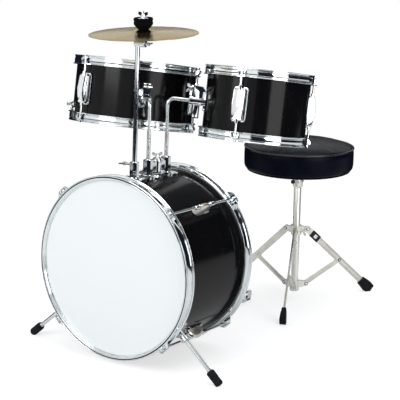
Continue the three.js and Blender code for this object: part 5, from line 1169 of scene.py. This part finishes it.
toe_front, toe_back = hoop_low_y - 26, axle_y + 16
frame_parts = [moved(plate([(-42, toe_front), (42, toe_front), (42, toe_back), (-42, toe_back)], 2, 5, 5),
                     shift(0, 0, 1)),
               block(72, 10, 6, shift(0, axle_y + 4, 5)),
               block(30, 10, 28, shift(0, hoop_low_y + 16, 14)),
               moved(plate([(-12, -11), (12, -11), (12, 11), (-12, 11)], 5, 2.5, 4),
                     shift(0, hoop_low_y + 8, 29.5)),
               pin((0, hoop_low_y + 16, 26), (0, hoop_low_y + 16, 40), 4, steps=24)]
frame_parts += [moved(part, shift(0, hoop_low_y + 16, 38)) for part in wing_screw(2, 4.6, 24)]
for hand in (-1, 1):
    frame_parts.append(cheek_plate(hand * 36, [(axle_y - 12, 1.5), (axle_y + 14, 1.5), (axle_y + 11, 40),
                                               (axle_y + 7, axle_z), (axle_y + 5, axle_z + 8),
                                               (axle_y - 5, axle_z + 8), (axle_y - 8, axle_z),
                                               (axle_y - 12, 40)], 5, 2))
    frame_parts.append(cheek_plate(hand * 36, [(axle_y - 7, 22), (axle_y + 7, 22), (axle_y + 4, 112),
                                               (axle_y - 5, 112)], 6.2, 3))
    for x_in, x_out in ((38, 40.4), (31.6, 34)):
        frame_parts.append(pin((hand * x_in, axle_y, axle_z), (hand * x_out, axle_y, axle_z), 7.6, steps=48))
    frame_parts.append(pin((hand * 30, axle_y, 4), (hand * 17, heel_y - 26, 4), 3))
    frame_parts.append(cheek_plate(hand * 19.25,
                                   [(heel_y - 15, 2), (heel_y + 4, 2), (heel_y + 9, heel_z - 6),
                                    (heel_y + 9, heel_z + 3), (heel_y + 5, heel_z + 8),
                                    (heel_y - 5, heel_z + 8), (heel_y - 9, heel_z + 3)], 5.5, 2))
    frame_parts.append(pin((hand * 21.6, heel_y, heel_z), (hand * 22.6, heel_y, heel_z), 4.4, 3.6))
    frame_parts.append(pin((hand * 13, heel_y - 26, 5.6), (hand * 13, heel_y - 26, 7.6), 3.4, 2.6))
heel = plate([(-22, -34), (22, -34), (22, 4), (16, 10), (-16, 10), (-22, 4)], 6, 3, 4)
frame_parts.append(moved(heel, shift(0, heel_y, 3)))
piece("pedal_frame", frame_parts, pedal, chrome, edge=0.5)


# ---- Footboard
# A cast board with raised treads, hinged on the heel's pin. A rigid link joins its toe to the rocker.
crank_pin, toe = Vector((0, axle_y - 18, axle_z + 21.4)), Vector((0, axle_y - 8, 92))
heel_point = Vector((0, heel_y - 9, heel_z + 5))
board_way = toe - heel_point
board_long = board_way.length
board_place = standing(heel_point, board_way, board_way.cross(Vector((-1, 0, 0))))
cast, tree, shader, place = finish_of("cast_alloy", (0.5, 0.51, 0.53), 1.0, 0.3)
skin_grain, wear = grain(tree, place, 520, 4, 0.65), grain(tree, place, 22, 4, 0.6)
stained(tree, shader, wear, 0.35, 0.7, (0.44, 0.45, 0.465), (0.33, 0.34, 0.36))
feed(tree, shader, "Roughness", spread(tree, wear, 0.3, 0.7, 0.24, 0.4) + skin_grain * 0.05)
relief(tree, shader, skin_grain, 0.2, 0.0004)
outline = [(0, -15), (9, -15), (20, -21), (board_long * 0.35, -27), (board_long * 0.8, -30),
           (board_long - 6, -26), (board_long, -14)]
outline += [(along, -across) for along, across in reversed(outline)]
board_parts = [moved(plate(outline, 4, 3, 4), board_place)]
for step in range(5):
    wide = 17 + step
    tread = plate([(-2.5, -wide), (2.5, -wide), (2.5, wide), (-2.5, wide)], 2, 1.6, 3)
    board_parts.append(moved(tread, board_place @ shift(46 + step * 48, 0, 2.6)))
for step in range(4):
    for across in (-12, -4, 4, 12):
        stud = pin((70 + step * 48, across, 1.8), (70 + step * 48, across, 3.2), 2.6, 1.8, 20)
        board_parts.append(moved(stud, board_place))
for across in (-1, 1):
    lip_bar = block(board_long * 0.4, 2.2, 2.4, shift(board_long * 0.58, across * 26.6, 2.4)
                    @ Matrix.Rotation(across * math.radians(0.7), 4, "Z"))
    board_parts.append(moved(lip_bar, board_place))
board_parts += [pin((-16.2, heel_y, heel_z), (16.2, heel_y, heel_z), 5),
                pin((-21.5, heel_y, heel_z), (21.5, heel_y, heel_z), 3),
                block(30.4, 14, 6, shift(0, heel_y - 6, heel_z + 3))]
link_foot = toe + Vector((0, 2, 0))
link_way = crank_pin - link_foot
link_place = standing(link_foot, link_way, link_way.cross(Vector((-1, 0, 0))))
link_parts = [block(8, 14, 7)]
for hand in (-1, 1):
    bar = plate([(-2, -3.5), (link_way.length - 6.4, -3.5), (link_way.length - 6.4, 3.5), (-2, 3.5)],
                2.8, 1, 3)
    link_parts.append(moved(bar, shift(0, hand * 5.6, 0) @ Matrix.Rotation(math.pi / 2, 4, "X")))
board_parts += [moved(part, link_place) for part in link_parts]
for hand in (-1, 1):
    eye_ring = turned([(6.2, -1.4), (8.4, -1.4), (8.8, -1), (8.8, 1), (8.4, 1.4), (6.2, 1.4)], 48)
    board_parts.append(moved(eye_ring, Matrix.Translation(crank_pin + Vector((hand * 5.6, 0, 0)))
                             @ Matrix.Rotation(math.pi / 2, 4, "Y")))
piece("pedal_footboard", board_parts, pedal, cast)


# ---- Beater
# The axle turns in the posts' bearings with its rocker and a clamp for the beater's rod. The head is a
# disc of hard grey felt on a steel core, and it meets the rear head square on.
beater_back, beater_long = math.radians(44.6), 142
beater_way = Vector((0, math.sin(beater_back), math.cos(beater_back)))
axle = Vector((0, axle_y, axle_z))
head_at = axle + beater_way * beater_long
face_way = Vector((1, 0, 0)).cross(beater_way)
rocker_up = (crank_pin - axle).normalized()
rocker = plate([(-6, -7), (6, -7), (8, 10), (4, 31), (-4, 31), (-8, 10)], 4.4, 2, 4)
rocker_place = Matrix.Translation(axle) @ Matrix((Vector((1, 0, 0)).cross(rocker_up), rocker_up,
                                                  Vector((-1, 0, 0)))).transposed().to_4x4()
clamp_place = standing(axle, (1, 0, 0), beater_way)
beater_parts = [pin((-41.4, axle_y, axle_z), (41.4, axle_y, axle_z), 4),
                pin((41.4, axle_y, axle_z), (42, axle_y, axle_z), 4, 3.2),
                pin((-41.4, axle_y, axle_z), (-42, axle_y, axle_z), 4, 3.2),
                pin((-30, axle_y, axle_z), (-12, axle_y, axle_z), 7),
                pin((-3, axle_y, axle_z), (3, axle_y, axle_z), 9),
                pin((12, axle_y, axle_z), (30, axle_y, axle_z), 7), moved(rocker, rocker_place),
                pin(crank_pin - Vector((7.6, 0, 0)), crank_pin + Vector((7.6, 0, 0)), 2.6),
                moved(block(12, 16, 16, shift(0, 0, 4)), clamp_place),
                moved(pin((6, 0, 4), (9, 0, 4), 3.4, steps=6), clamp_place), pin(axle, head_at, 3.4),
                pin(head_at - beater_way * 26, head_at - beater_way * 15, 5),
                pin(head_at - face_way * 15.4, head_at + face_way * 15.4, 12, steps=48)]
piece("pedal_beater", beater_parts, pedal, steel)
hard_felt, tree, shader, place = finish_of("beater_felt", (0.36, 0.35, 0.33), 0.0, 0.95)
shader["Sheen Weight"].default_value = 0.2
wool, packed = grain(tree, place, 900, 5, 0.75), grain(tree, place, 110, 4, 0.7)
stained(tree, shader, wool + packed * 0.6, 0.6, 1.0, (0.30, 0.29, 0.275), (0.44, 0.43, 0.41))
feed(tree, shader, "Roughness", spread(tree, wool, 0.3, 0.7, 0.86, 1.0))
relief(tree, shader, wool + packed, 0.8, 0.0012)
disc = turned([(12, -15.2), (16.4, -16.6), (17.8, -16), (18.8, -14), (19, -11), (19, 11), (18.8, 14),
               (17.8, 16), (16.4, 16.6), (12, 15.2)], 96)
piece("pedal_beater",
      [moved(disc, Matrix.Translation(head_at) @ face_way.to_track_quat("Z", "Y").to_matrix().to_4x4())],
      pedal, hard_felt, edge=0, part_name="felt")
